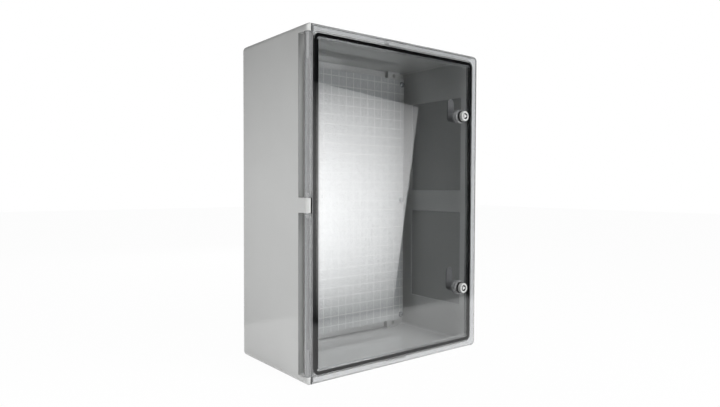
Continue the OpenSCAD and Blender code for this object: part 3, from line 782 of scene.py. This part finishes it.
class DISTRIBUTION_BOX_OT_body(bpy.types.Operator):
    """Model the moulded body with its flange, lip, knuckles, posts and pads"""

    bl_idname = "distribution_box.body"
    bl_label = "Body"

    def execute(self, context):
        s = context.scene.box_body
        door = context.scene.box_door
        outer = (s.half_width, s.half_height, s.corner)
        inner = shrink(outer, s.wall)
        lip = shrink((SEAL_HIGH.x, SEAL_END, door.gasket_corner), (door.gasket - s.lip) / 2)
        mouth = shrink(lip, s.lip)
        step = DOOR_HIGH.y + s.door_gap
        lip_front = SEAL_HIGH.y + s.lip_gap
        behind = step + s.flange
        back = BODY_HIGH.y
        floor = back - s.wall
        body = loft("enclosure_body", [
            *edge_round(outer, back, s.back_edge, -1), (*outer, step), (*lip, step), (*lip, lip_front),
            (*mouth, lip_front), (*mouth, behind), (*inner, behind),
            *reversed(edge_round(inner, floor, s.back_edge - s.wall, -1)),
        ])

        additions = [self.knuckles(s, outer, door.front_edge), *self.catches(s, door, step)]
        cutters = []
        for place in plate_screw_places(context.scene.box_plate):
            additions.append(peg("post", s.post, place, PLATE_HIGH.y, floor + OVERLAP))
            cutters.append(peg(
                "bore", s.insert, place, PLATE_HIGH.y - OVERLAP, PLATE_HIGH.y + s.insert_depth
            ))
        for x in SIDES:
            for z in SIDES:
                spot = Vector((x * (s.half_width - s.fixing_side), 0, z * (s.half_height - s.fixing_end)))
                additions.append(self.pad(s, spot.x, z, inner, floor))
                cutters.append(peg("hole", s.fixing, spot, floor - s.pad - OVERLAP, back + OVERLAP))
                cutters.append(self.field(s, x, z, inner, behind))
        for name in PINS:
            low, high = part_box(name)
            cutters.append(hinge_rod("bore", door.pin + door.pin_play, low.z, high.z))
        shape(body, "UNION", *additions)
        shape(body, "DIFFERENCE", *cutters)
        soften(body, s.soft_edge)
        self.flatten(body, s)

        colours = context.scene.box_finishes
        dress(body, moulded_abs("moulded_grey_abs", colours.body), "enclosure", "body", "body_shell")
        # Painted shade: a darker copy of the body's grey on the thinned fields inside the side walls
        bottom = inner[0] + s.field_depth / 2
        paint(body, moulded_abs("moulded_grey_abs_field", colours.field), lambda place: (
            bottom < abs(place.x) < inner[0] + 2 * s.field_depth and behind < place.y < PLATE_LOW.y
        ))
        # Painted shade: the flange behind the hinge barrels gets a darker grey in place of their shadow, as
        # the clear door casts none
        paint(body, moulded_abs("shaded_grey_abs", colours.shade), lambda place: (
            abs(place.y - step) < NEAR and place.x < s.soft_edge - lip[0]
        ))
        return {"FINISHED"}

    def knuckles(self, s, outer, edge):
        """The three hinge knuckles as one tool, kept inside the outline of the box."""
        top = s.half_height
        envelope = loft("envelope", [
            *edge_round(outer, HINGE.y - s.knuckle, edge, 1), (*outer, BODY_HIGH.y)
        ])
        hinge = merge_into(
            hinge_block("knuckle", s, -s.middle_knuckle / 2, s.middle_knuckle / 2),
            hinge_block("knuckle", s, top - s.end_knuckle, top + OVERLAP),
            hinge_block("knuckle", s, -top - OVERLAP, s.end_knuckle - top),
        )
        shape(hinge, "INTERSECT", envelope)
        return hinge

    def catches(self, s, door, step):
        """The catch blocks on the flange: one on the lock side, one at the top and one at the bottom."""
        rib = door.rib_fit + door.rib
        front = step - s.block_height
        back = step + OVERLAP
        blocks = [block(
            "catch", (SEAL_HIGH.x + rib + s.block_gap, front, -s.side_block / 2),
            (s.half_width - door.skirt - s.block_gap, back, s.side_block / 2)
        )]
        low = SEAL_END + rib + s.block_gap / 2
        high = s.half_height - door.skirt - s.block_gap / 2
        for way in SIDES:
            ends = sorted((way * low, way * high))
            blocks.append(block(
                "catch", (-s.end_block / 2, front, ends[0]), (s.end_block / 2, back, ends[1])
            ))
        return blocks

    def pad(self, s, middle, z, inner, floor):
        """The pad round a wall fixing hole, against the top or the bottom wall."""
        ends = sorted((z * (inner[1] + OVERLAP), z * (inner[1] - s.pad_height)))
        return block(
            "pad", (middle - s.pad_width / 2, floor - s.pad, ends[0]),
            (middle + s.pad_width / 2, floor + OVERLAP, ends[1])
        )

    def field(self, s, x, z, inner, behind):
        """What is cut out of a side wall for its upper or lower thinned field."""
        wall = sorted((x * (inner[0] - OVERLAP), x * (inner[0] + s.field_depth)))
        ends = sorted((z * s.field_band / 2, z * (s.half_height - s.field_end)))
        return block(
            "field", (wall[0], behind + s.field_margin, ends[0]),
            (wall[1], PLATE_LOW.y - s.field_margin, ends[1])
        )

    def flatten(self, body, s):
        """Presses flat the points that the rounding leaves outside the side face, beside the knuckles."""
        open_piece(body)
        pick(body, "verts", lambda place: place.x < -s.half_width - NEAR)
        bpy.ops.transform.resize(value=(0, 1, 1), center_override=(-s.half_width, 0, 0))
        bpy.ops.object.mode_set(mode="OBJECT")
        soften(body, 0)


class DISTRIBUTION_BOX_OT_door(bpy.types.Operator):
    """Model the clear door with its skirt, hinge barrels, gasket ribs and lock bosses"""

    bl_idname = "distribution_box.door"
    bl_label = "Door"

    def execute(self, context):
        s = context.scene.box_door
        body = context.scene.box_body
        colours = context.scene.box_finishes
        front = DOOR_LOW.y + s.boss_front
        panel = front + s.panel
        outer = (body.half_width, body.half_height, body.corner)
        inner = shrink(outer, s.skirt)
        door = loft("clear_door", [
            *edge_round(outer, front, s.front_edge, 1), (*outer, DOOR_HIGH.y), (*inner, DOOR_HIGH.y),
            *reversed(edge_round(inner, panel, s.front_edge - s.panel, 1)),
        ])
        notch = HINGE.x + body.knuckle + s.hinge_gap
        far = 2 * body.half_height
        shape(door, "DIFFERENCE", block("hinge_cut", (-far, -far, -far), (notch, far, far)))

        low = body.middle_knuckle / 2 + s.hinge_gap
        high = body.half_height - body.end_knuckle - s.hinge_gap
        seal = (SEAL_HIGH.x, SEAL_END, s.gasket_corner)
        rib_outer = shrink(seal, -s.rib_fit - s.rib)
        rib_inner = shrink(seal, s.gasket + s.rib_fit)
        for outline in (rib_outer, rib_inner):
            shape(door, "UNION", self.rib(s, outline, panel - OVERLAP))
        for way in SIDES:
            ends = sorted((way * low, way * high))
            shape(door, "UNION", hinge_rod("barrel", body.knuckle, *ends))
            shape(door, "UNION", block(
                "strip", (HINGE.x, front, ends[0]), (notch + OVERLAP, panel, ends[1])
            ))
            shape(door, "DIFFERENCE", hinge_rod(
                "bore", s.pin + s.pin_play, ends[0] - s.hinge_gap / 2, ends[1] + s.hinge_gap / 2
            ))
            web = way * s.web_height
            shape(door, "UNION", block(
                "web", (HINGE.x + body.knuckle - s.rib / 2, panel - OVERLAP, web - s.web / 2),
                (s.rib / 2 - rib_outer[0], SEAL_HIGH.y, web + s.web / 2)
            ))
            wall = sorted((way * (rib_outer[1] - s.rib), way * (body.half_height - s.skirt / 2)))
            shape(door, "UNION", block(
                "end_wall", (notch, panel - OVERLAP, wall[0]), (notch + s.web, DOOR_HIGH.y, wall[1])
            ))
            back = panel + s.boss_back
            shape(door, "UNION", peg("boss", s.boss, LOCKS[way], DOOR_LOW.y, back))
            shape(door, "DIFFERENCE", peg(
                "hole", s.lock_hole, LOCKS[way], DOOR_LOW.y - OVERLAP, back + OVERLAP
            ))
        soften(door, s.soft_edge)

        dress(door, clear_polycarbonate(colours.door), "door", "clear_door", "door_panel")
        satin = satin_polycarbonate("satin_polycarbonate", colours.barrel, SATIN_CLEAR)
        paint(door, satin, lambda place: (
            place.x < notch + s.web + s.soft_edge
            or min(math.hypot(place.x - lock.x, place.z - lock.z) for lock in LOCKS.values()) < s.boss + NEAR
        ))
        frosted = satin_polycarbonate("frosted_polycarbonate", colours.barrel, FROSTED_CLEAR)
        paint(door, frosted, lambda place: (
            place.x < notch + s.soft_edge + NEAR and abs(place.z) > high + s.hinge_gap
        ))
        window = rib_inner[0] - s.rib - s.soft_edge - s.rib_draft
        paint(door, foamed_gasket(colours.foam), lambda place: (
            place.y > panel + s.soft_edge and abs(place.z) < SEAL_END - s.gasket_corner + NEAR
            and -rib_outer[0] - NEAR < place.x < rib_inner[0] + NEAR and abs(place.x) > window
        ))
        door.visible_shadow = False
        return {"FINISHED"}

    def rib(self, s, outline, root):
        """A rib that runs round the door beside the gasket and thins towards its tip."""
        tip = SEAL_HIGH.y + s.rib_over
        return loft("rib", [
            (*outline, root), (*shrink(outline, s.rib_draft), tip),
            (*shrink(outline, s.rib - s.rib_draft), tip), (*shrink(outline, s.rib), root),
        ], closed=True)


class DISTRIBUTION_BOX_OT_gasket(bpy.types.Operator):
    """Model the foam gasket with its round top"""

    bl_idname = "distribution_box.gasket"
    bl_label = "Gasket"

    def execute(self, context):
        s = context.scene.box_door
        outline = (SEAL_HIGH.x, SEAL_END, s.gasket_corner)
        shoulder = SEAL_HIGH.y - s.gasket_crown
        crown = [
            (*shrink(outline, s.gasket / 2 * (1 - math.cos(a))), shoulder + s.gasket_crown * math.sin(a))
            for a in arc(math.pi, 2 * EDGE_STEPS)
        ]
        gasket = loft("foam_gasket", [
            (*outline, SEAL_LOW.y), *crown, (*shrink(outline, s.gasket), SEAL_LOW.y)
        ], closed=True)
        soften(gasket, 0)
        dress(gasket, foamed_gasket(context.scene.box_finishes.foam), "door", "gasket", "door_gasket")
        return {"FINISHED"}


class DISTRIBUTION_BOX_OT_hinge_pins(bpy.types.Operator):
    """Model the three hinge pins with chamfered ends"""

    bl_idname = "distribution_box.hinge_pins"
    bl_label = "Hinge pins"

    def execute(self, context):
        s = context.scene.box_door
        finish = moulded_polyamide("grey_polyamide", context.scene.box_finishes.pin)
        tip = s.pin - s.pin_chamfer
        for name in PINS:
            low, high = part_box(name)
            pin = lathe(name + "_turned", [
                (0, low.z), (tip, low.z), (s.pin, low.z + s.pin_chamfer),
                (s.pin, high.z - s.pin_chamfer), (tip, high.z), (0, high.z),
            ], (HINGE.x, HINGE.y, 0), Vector((0, 0, 1)))
            soften(pin, 0)
            dress(pin, finish, "enclosure", "hinge_pin", name)
        return {"FINISHED"}


def lock_housing(s):
    """The lock's head with its round rim, threaded shank and stepped bore."""
    front, back = HEAD_LOW.y, HEAD_HIGH.y
    head = (HEAD_HIGH.z - HEAD_LOW.z) / 2 - s.head_draft
    shoulder = front + s.key_bore_depth
    edge = s.soft_edge
    profile = [
        (s.key_bore + edge, front), *rim(head, front, s.head_rim, 1), (head, front + s.head - edge),
        (head - edge, front + s.head), (s.shank, front + s.head),
        *thread(s.shank, NUT_LOW.y, back - edge, s.thread), (s.shank - edge, back),
        (s.shaft_bore, back), (s.shaft_bore, shoulder), (s.key_bore, shoulder),
        (s.key_bore, front + edge), (s.key_bore + edge, front),
    ]
    return lathe("upper_lock_head", profile, LOCK_AXIS)


def lock_nut(s):
    """The chamfered six-sided nut behind the door."""
    low, high = NUT_LOW.y, NUT_HIGH.y
    corner = (NUT_HIGH.x - NUT_LOW.x) / 2
    flat = (NUT_HIGH.z - NUT_LOW.z) / 2
    chamfer = corner - flat
    slope = NUT_SLOPE * chamfer
    nut = peg("upper_lock_hex_nut", corner, UPPER_LOCK, low, high, sides=6)
    shape(nut, "INTERSECT", lathe("chamfer", [
        (0, low), (flat - chamfer / 2, low), (corner + OVERLAP, low + slope),
        (corner + OVERLAP, high - slope), (flat - chamfer / 2, high), (0, high),
    ], LOCK_AXIS))
    shape(nut, "DIFFERENCE", peg(
        "bore", s.shank + s.shank_fit, UPPER_LOCK, low - OVERLAP, high + OVERLAP
    ))
    return nut


def lock_rotor(s):
    """The rotor: triangular key post in a round recess, grooved shaft and square tang."""
    x, z = UPPER_LOCK.x, UPPER_LOCK.z
    front, back = ROTOR_LOW.y, ROTOR_HIGH.y
    shaft = s.shaft_bore - s.play
    head = s.key_bore - s.play
    recess = head - s.key_rim
    floor = front + s.key_depth
    shoulder = HEAD_LOW.y + s.key_bore_depth - s.end_play
    groove = (HEAD_LOW.y + s.key_bore_depth + HEAD_HIGH.y) / 2
    edge = s.soft_edge / 2
    rotor = lathe("upper_lock_key_rotor", [
        (0, floor), (recess, floor), (recess, front + edge), (recess + edge, front), (head - edge, front),
        (head, front + edge), (head, shoulder), (shaft, shoulder), (shaft, groove - s.groove / 2),
        (shaft - s.groove, groove - s.groove / 2), (shaft - s.groove, groove + s.groove / 2),
        (shaft, groove + s.groove / 2), (shaft, CAM_LOW.y), (0, CAM_LOW.y),
    ], LOCK_AXIS)
    post = peg("post", s.key_side / math.sqrt(3), UPPER_LOCK, front, floor + OVERLAP / 2, sides=3)
    point_post(post)
    soften(post, 2 * s.soft_edge)
    half = s.tang / 2
    shape(rotor, "UNION", post)
    shape(rotor, "UNION", block(
        "tang", (x - half, CAM_LOW.y - OVERLAP, z - half), (x + half, back, z + half)
    ))
    return rotor


def point_post(post):
    """Turns the three-sided post so that one corner points to the lock side."""
    open_piece(post)
    bpy.ops.mesh.select_all(action="SELECT")
    corners = [v.co for v in bmesh.from_edit_mesh(post.data).verts]
    first = max(corners, key=lambda co: co.x)
    turned = math.atan2(first.z - LOCK_AXIS.z, first.x - LOCK_AXIS.x)
    bpy.ops.transform.rotate(value=-turned, orient_axis="Y", center_override=LOCK_AXIS)
    bpy.ops.object.mode_set(mode="OBJECT")


def lock_cam(s):
    """The flat cam with round ends and a square hole."""
    half = (CAM_HIGH.x - CAM_LOW.x) / 2
    reach = (CAM_HIGH.z - CAM_LOW.z) / 2
    outline = (half, reach, half - NEAR)
    cam = loft("upper_lock_cam_bar", [(*outline, CAM_LOW.y), (*outline, CAM_HIGH.y)],
               centre=(UPPER_LOCK.x, (CAM_HIGH.z + CAM_LOW.z) / 2))
    hole = s.tang / 2 + s.play
    shape(cam, "DIFFERENCE", block(
        "hole", (UPPER_LOCK.x - hole, CAM_LOW.y - OVERLAP, UPPER_LOCK.z - hole),
        (UPPER_LOCK.x + hole, CAM_HIGH.y + OVERLAP, UPPER_LOCK.z + hole)
    ))
    return cam


def washer(name, outer, bore, low, high, centre, parts=4):
    """A flat ring, its outer edges rounded by its thickness over a number of parts."""
    edge = (high - low) / parts
    profile = [
        (bore, low), *rim(outer, low, edge, 1), *reversed(rim(outer, high, edge, -1)),
        (bore, high), (bore, low),
    ]
    return lathe(name, profile, centre)


def pan_screw(name, s, head, radius, pitch, seat, top, end, centre):
    """A pan-head screw with a cross recess, its head from the seat to the top and its tip at the end."""
    x, _, z = centre
    way = 1 if top > seat else -1
    height = abs(top - seat)
    dome = [
        (head * math.sin(a), seat + way * height * (1 - DOME_SHARE * (1 - math.cos(a)))) for a in arc()
    ]
    screw = lathe(name, [
        *dome, (head, seat), *thread(radius, seat, end + way * radius / 2, pitch),
        (radius * TIP_SHARE, end), (0, end),
    ], centre)
    ends = sorted((top - way * s.slot_depth, top + way * OVERLAP))
    arm = head * RECESS_SHARE
    for half_x, half_z in ((arm, s.slot / 2), (s.slot / 2, arm)):
        shape(screw, "DIFFERENCE", block(
            "bar", (x - half_x, ends[0], z - half_z), (x + half_x, ends[1], z + half_z)
        ))
    return screw


class DISTRIBUTION_BOX_OT_locks(bpy.types.Operator):
    """Model the upper lock piece by piece and copy each piece to the lower lock"""

    bl_idname = "distribution_box.locks"
    bl_label = "Locks"

    def execute(self, context):
        s = context.scene.box_locks
        plate = context.scene.box_plate
        colours = context.scene.box_finishes
        light = moulded_polyamide("light_grey_polyamide", colours.lock)
        dark = moulded_polyamide("dark_grey_polyamide", colours.dark)
        recess_painted_shade = moulded_polyamide("shaded_polyamide", colours.recess)
        rubber = moulded_rubber(colours.rubber)
        zinc = zinc_plated(colours.zinc)
        seal = washer(
            "upper_lock_ring", (RING_HIGH.z - RING_LOW.z) / 2, s.shank + s.shank_fit,
            RING_LOW.y, RING_HIGH.y, LOCK_AXIS, parts=3
        )
        cam_washer = washer(
            "upper_lock_flat_washer", (CAM_WASHER_HIGH.z - CAM_WASHER_LOW.z) / 2, plate.cam_screw + s.play,
            CAM_WASHER_LOW.y, CAM_WASHER_HIGH.y, LOCK_AXIS
        )
        screw_head = (CAM_SCREW_HIGH.z - CAM_SCREW_LOW.z) / 2
        cam_screw = pan_screw(
            "upper_lock_pan_screw", plate, screw_head, plate.cam_screw, plate.cam_screw_thread,
            CAM_WASHER_HIGH.y, CAM_SCREW_HIGH.y, CAM_SCREW_LOW.y, LOCK_AXIS
        )
        made = [
            (lock_housing(s), light, "door", "lock_plastic", "lock_housing", 0),
            (seal, rubber, "door", "black_rubber", "lock_seal", 0),
            (lock_nut(s), dark, "door", "dark_plastic", "lock_nut", s.soft_edge),
            (lock_rotor(s), light, "lock", "lock_plastic", "lock_rotor", 0),
            (lock_cam(s), dark, "lock", "dark_plastic", "lock_cam", s.soft_edge),
            (cam_washer, zinc, "lock", "zinc", "lock_washer", 0),
            (cam_screw, zinc, "lock", "zinc", "lock_screw", 0),
        ]
        edge = s.soft_edge / 4
        post = s.key_side / math.sqrt(3)
        recess = s.key_bore - s.play - s.key_rim + edge
        for piece, finish, body, slot, node, width in made:
            soften(piece, width)
            lower = copy_of(piece, piece.name.replace("upper", "lower"), LOCK_STEP)
            for copy, side, lock in ((piece, "upper_", LOCKS[1]), (lower, "lower_", LOCKS[-1])):
                dress(copy, finish, side + body if body == "lock" else body, slot, side + node)
                if node == "lock_housing":
                    # Painted shade: the light housing's shank behind the door gets the dark grey, so that it
                    # sinks into the shade there
                    paint(copy, dark, lambda place: place.y > RING_HIGH.y)
                if node == "lock_rotor":
                    # Painted shade: the walls and floor of the key recess get a dark grey in place of the
                    # shade inside it
                    paint(copy, recess_painted_shade, lambda place: (
                        ROTOR_LOW.y + edge < place.y < ROTOR_LOW.y + s.key_depth + NEAR
                        and post < math.hypot(place.x - lock.x, place.z - lock.z) < recess
                    ))
        repaint(rubber, "upper_lock_o_ring", "lower_lock_o_ring")
        return {"FINISHED"}


class DISTRIBUTION_BOX_OT_plate(bpy.types.Operator):
    """Model the mounting plate with its screws and washers, and give the inserts brass"""

    bl_idname = "distribution_box.plate"
    bl_label = "Mounting plate"

    def execute(self, context):
        s = context.scene.box_plate
        colours = context.scene.box_finishes
        outline = (PLATE_HIGH.x, PLATE_HIGH.z, s.corner)
        plate = loft("grid_plate", [(*outline, PLATE_LOW.y), (*outline, PLATE_HIGH.y)])
        places = plate_screw_places(s)
        shape(plate, "DIFFERENCE", *[
            peg("hole", s.hole, place, PLATE_LOW.y - OVERLAP, PLATE_HIGH.y + OVERLAP) for place in places
        ])
        soften(plate, s.soft_edge)
        finish = gridded_plate(colours.plate, colours.line, s)
        dress(plate, finish, "enclosure", "plate", "mounting_plate")

        zinc = zinc_plated(colours.zinc)
        first = (places[0].x, 0, places[0].z)
        flat = washer(
            "plate_washer_1", places[0].x - WASHERS_LOW.x, s.hole, WASHERS_LOW.y, WASHERS_HIGH.y, first
        )
        screw = pan_screw(
            "plate_screw_1", s, s.screw_head, s.screw, s.screw_thread,
            WASHERS_LOW.y, SCREWS_LOW.y, SCREWS_HIGH.y, first
        )
        for piece, node in ((flat, "plate_washers"), (screw, "plate_screws")):
            soften(piece, 0)
            copies = [piece]
            for i, place in enumerate(places[1:], start=2):
                copies.append(copy_of(piece, piece.name.replace("_1", f"_{i}"), place - places[0]))
            for copy in copies:
                dress(copy, zinc, "enclosure", "zinc", node)
        repaint(turned_brass(colours.brass), "plate_inserts")
        return {"FINISHED"}


class DISTRIBUTION_BOX_OT_stage(bpy.types.Operator):
    """Set up the floor, the background, the lights and the camera"""

    bl_idname = "distribution_box.stage"
    bl_label = "Stage"

    def execute(self, context):
        s = context.scene.box_studio
        context.scene.view_settings.view_transform = "Standard"
        self.add_floor(s)
        self.add_world(context, s)
        for side in ("side", "top", "front", "back"):
            self.add_lamp(side + "_light", *[
                getattr(s, f"{side}_{part}") for part in ("place", "aim", "size", "power")
            ])
        self.add_softbox(s)
        self.add_camera(context, s)
        return {"FINISHED"}

    def ray_kinds(self, tree):
        """Two masks: what is seen directly or through the clear door, and what a shiny surface mirrors."""
        path = add_node(tree, "ShaderNodeLightPath").outputs
        seen = add_node(tree, "ShaderNodeMath", {
            0: path["Is Camera Ray"], 1: path["Is Transmission Ray"]
        }, operation="MAXIMUM").outputs[0]
        bounced = add_node(tree, "ShaderNodeMath", {
            0: path["Diffuse Depth"], 1: path["Glossy Depth"]
        }, operation="ADD").outputs[0]
        first = add_node(tree, "ShaderNodeMath", {0: bounced, 1: 0.5}, operation="LESS_THAN").outputs[0]
        straight = add_node(tree, "ShaderNodeMath", {0: seen, 1: first}, operation="MULTIPLY").outputs[0]
        mirrored = add_node(tree, "ShaderNodeMath", {
            0: path["Glossy Depth"], 1: path["Diffuse Depth"]
        }, operation="GREATER_THAN").outputs[0]
        return straight, mirrored

    def add_floor(self, s):
        """A plain pale floor that keeps a faint shadow and looks white, in reflections only near the box."""
        bpy.ops.object.select_all(action="DESELECT")
        bpy.ops.mesh.primitive_plane_add(size=s.floor, location=(0, 0, BODY_LOW.z))
        floor = added("studio_floor")
        finish = bpy.data.materials.new("pale_studio_floor")
        tree = empty_tree(finish)
        straight, mirrored = self.ray_kinds(tree)
        shown = mirrored
        place = add_node(tree, "ShaderNodeTexCoord").outputs["Object"]
        depth = add_node(tree, "ShaderNodeSeparateXYZ", {"Vector": place}).outputs["Y"]
        fade = s.table_fade / 2
        for end, way in ((s.table_front, 1), (s.table_back, -1)):
            near = add_node(tree, "ShaderNodeMapRange", {
                "Value": depth, "From Min": end - way * fade, "From Max": end + way * fade
            }, interpolation_type="SMOOTHSTEP").outputs["Result"]
            shown = add_node(tree, "ShaderNodeMath", {0: shown, 1: near}, operation="MULTIPLY").outputs[0]
        either = add_node(tree, "ShaderNodeMath", {0: straight, 1: shown}, operation="MAXIMUM").outputs[0]
        share = add_node(tree, "ShaderNodeMath", {
            0: either, 1: s.floor_white
        }, operation="MULTIPLY").outputs[0]
        pale = add_node(tree, "ShaderNodeBsdfDiffuse", {"Color": s.floor_colour})
        white = add_node(tree, "ShaderNodeEmission", {"Color": WHITE, "Strength": 1.0})
        mixed = add_node(tree, "ShaderNodeMixShader", {0: share})
        tree.links.new(pale.outputs[0], mixed.inputs[1])
        tree.links.new(white.outputs[0], mixed.inputs[2])
        beyond = add_node(tree, "ShaderNodeMath", {0: mirrored, 1: shown}, operation="SUBTRACT").outputs[0]
        ended = add_node(tree, "ShaderNodeMixShader", {0: beyond})
        tree.links.new(mixed.outputs[0], ended.inputs[1])
        tree.links.new(add_node(tree, "ShaderNodeBsdfTransparent").outputs[0], ended.inputs[2])
        add_node(tree, "ShaderNodeOutputMaterial", {"Surface": ended.outputs[0]})
        floor.data.materials.append(finish)

    def add_world(self, context, s):
        """A white backdrop, also through the clear door, and a dim room on the camera's side."""
        world = bpy.data.worlds.new("studio")
        context.scene.world = world
        tree = empty_tree(world)
        straight, mirrored = self.ray_kinds(tree)
        way = add_node(tree, "ShaderNodeTexCoord").outputs["Generated"]
        axes = add_node(tree, "ShaderNodeSeparateXYZ", {"Vector": way}).outputs
        room = add_node(tree, "ShaderNodeMapRange", {
            "Value": axes["X"], "From Min": ROOM_LEFT, "From Max": ROOM_RIGHT,
            "To Min": s.mirror_left, "To Max": s.mirror_right
        }).outputs["Result"]
        backdrop = add_node(tree, "ShaderNodeMapRange", {
            "Value": axes["Z"], "From Min": BACKDROP_LOW, "From Max": BACKDROP_HIGH,
            "To Min": s.mirror_back, "To Max": s.mirror_high
        }).outputs["Result"]
        mirror, ambient = [
            add_node(tree, "ShaderNodeMapRange", {
                "Value": axes["Y"], "From Min": ROOM_FRONT, "From Max": ROOM_BACK,
                "To Min": front, "To Max": back
            }).outputs["Result"]
            for front, back in ((room, backdrop), (s.ambient_front, s.ambient_back))
        ]
        dim = add_node(tree, "ShaderNodeMix", {
            "Factor": mirrored, "A": ambient, "B": mirror
        }).outputs["Result"]
        level = add_node(tree, "ShaderNodeMix", {"Factor": straight, "A": dim, "B": 1.0}).outputs["Result"]
        sky = add_node(tree, "ShaderNodeBackground", {"Color": WHITE, "Strength": level})
        add_node(tree, "ShaderNodeOutputWorld", {"Surface": sky.outputs[0]})

    def add_lamp(self, name, place, target, size, power):
        """A square lamp aimed at a point."""
        bpy.ops.object.light_add(type="AREA", location=place)
        lamp = bpy.context.object
        lamp.name = name
        lamp.data.size = size
        lamp.data.energy = power
        lamp.rotation_euler = (Vector(target) - Vector(place)).to_track_quat("-Z", "Y").to_euler()
        lamp.visible_camera = False
        lamp.visible_glossy = False
        lamp.visible_transmission = False

    def add_softbox(self, s):
        """A tall softbox beside the front, which the door reflects and the camera doesn't see.

        It is brightest on its near side, behind a dim rim, and its glow falls towards its ends.
        """
        corners = [
            Vector(corner)
            for corner in (s.card_upper_left, s.card_upper_right, s.card_lower_right, s.card_lower_left)
        ]
        centre = sum(corners, Vector()) / len(corners)
        width = (corners[1] - corners[0]).length
        bpy.ops.object.select_all(action="DESELECT")
        bpy.ops.mesh.primitive_plane_add(size=width, location=centre, rotation=(math.pi / 2, 0, 0))
        card = added("softbox")
        open_piece(card)
        starts = [v.co.copy() for v in bmesh.from_edit_mesh(card.data).verts]
        for corner in corners:
            start = max(starts, key=lambda co: (co - centre).dot(corner - centre))
            pick(card, "verts", lambda place: (place - start).length < NEAR)
            bpy.ops.transform.translate(value=corner - start)
        bpy.ops.object.mode_set(mode="OBJECT")

        finish = bpy.data.materials.new("softbox_cloth")
        tree = empty_tree(finish)
        place = add_node(tree, "ShaderNodeTexCoord").outputs["Object"]
        axes = add_node(tree, "ShaderNodeSeparateXYZ", {"Vector": place}).outputs
        across = add_node(tree, "ShaderNodeMapRange", {
            "Value": axes["X"], "From Min": s.card_rim, "From Max": corners[1].x,
            "To Min": s.card_glow, "To Max": s.card_glow * s.card_fade
        }).outputs["Result"]
        dim = add_node(tree, "ShaderNodeMapRange", {
            "Value": axes["X"], "From Min": s.card_rim - s.card_rim_blur,
            "From Max": s.card_rim + s.card_rim_blur, "To Min": s.card_rim_glow, "To Max": 1.0
        }).outputs["Result"]
        away = add_node(tree, "ShaderNodeMath", {
            0: axes["Z"], 1: s.card_middle
        }, operation="SUBTRACT").outputs[0]
        up = add_node(tree, "ShaderNodeMath", {0: away, 1: s.card_bow}, operation="DIVIDE").outputs[0]
        off = add_node(tree, "ShaderNodeMath", {0: up}, operation="ABSOLUTE").outputs[0]
        fall = add_node(tree, "ShaderNodeMath", {0: off, 1: s.card_fall}, operation="POWER").outputs[0]
        left = add_node(tree, "ShaderNodeMath", {
            0: 1.0, 1: fall
        }, operation="SUBTRACT", use_clamp=True).outputs[0]
        level = add_node(tree, "ShaderNodeMath", {0: across, 1: left}, operation="MULTIPLY").outputs[0]
        glow = add_node(tree, "ShaderNodeMath", {0: level, 1: dim}, operation="MULTIPLY").outputs[0]
        light = add_node(tree, "ShaderNodeEmission", {"Color": WHITE, "Strength": glow})
        add_node(tree, "ShaderNodeOutputMaterial", {"Surface": light.outputs[0]})
        card.data.materials.append(finish)
        card.visible_camera = False

    def add_camera(self, context, s):
        """The camera at the photograph's viewing angle."""
        bpy.ops.object.camera_add()
        camera = bpy.context.object
        camera.name = "camera"
        camera.data.sensor_width = SENSOR_WIDTH
        camera.data.lens = s.lens
        camera.matrix_world = (
            Matrix.Translation(s.camera) @ Matrix.Rotation(s.turn, 4, "Z")
            @ Matrix.Rotation(math.pi / 2 - s.tilt, 4, "X") @ Matrix.Rotation(s.roll, 4, "Z")
        )
        context.scene.camera = camera


OPERATORS = (
    DISTRIBUTION_BOX_OT_body, DISTRIBUTION_BOX_OT_door, DISTRIBUTION_BOX_OT_gasket,
    DISTRIBUTION_BOX_OT_hinge_pins, DISTRIBUTION_BOX_OT_locks, DISTRIBUTION_BOX_OT_plate,
    DISTRIBUTION_BOX_OT_stage,
)


class DISTRIBUTION_BOX_PT_panel(bpy.types.Panel):
    """Lists the pieces and their sizes"""

    bl_idname = "DISTRIBUTION_BOX_PT_panel"
    bl_label = "Distribution box"
    bl_space_type = "VIEW_3D"
    bl_region_type = "UI"
    bl_category = "Distribution box"

    def draw(self, context):
        for operator in OPERATORS:
            self.layout.operator(operator.bl_idname)
        for name, group in GROUPS.items():
            column = self.layout.box().column()
            column.label(text=group.__doc__)
            for key in group.__annotations__:
                column.prop(getattr(context.scene, name), key)


CLASSES = (*GROUPS.values(), *OPERATORS, DISTRIBUTION_BOX_PT_panel)


def register():
    for cls in CLASSES:
        bpy.utils.register_class(cls)
    for name, group in GROUPS.items():
        setattr(bpy.types.Scene, name, bpy.props.PointerProperty(type=group))


def unregister():
    for name in GROUPS:
        delattr(bpy.types.Scene, name)
    for cls in reversed(CLASSES):
        bpy.utils.unregister_class(cls)


def main():
    register()
    bpy.ops.object.select_all(action="DESELECT")
    bpy.ops.distribution_box.body()
    bpy.ops.distribution_box.door()
    bpy.ops.distribution_box.gasket()
    bpy.ops.distribution_box.hinge_pins()
    bpy.ops.distribution_box.locks()
    bpy.ops.distribution_box.plate()
    bpy.ops.distribution_box.stage()


if __name__ == "__main__":
    main()
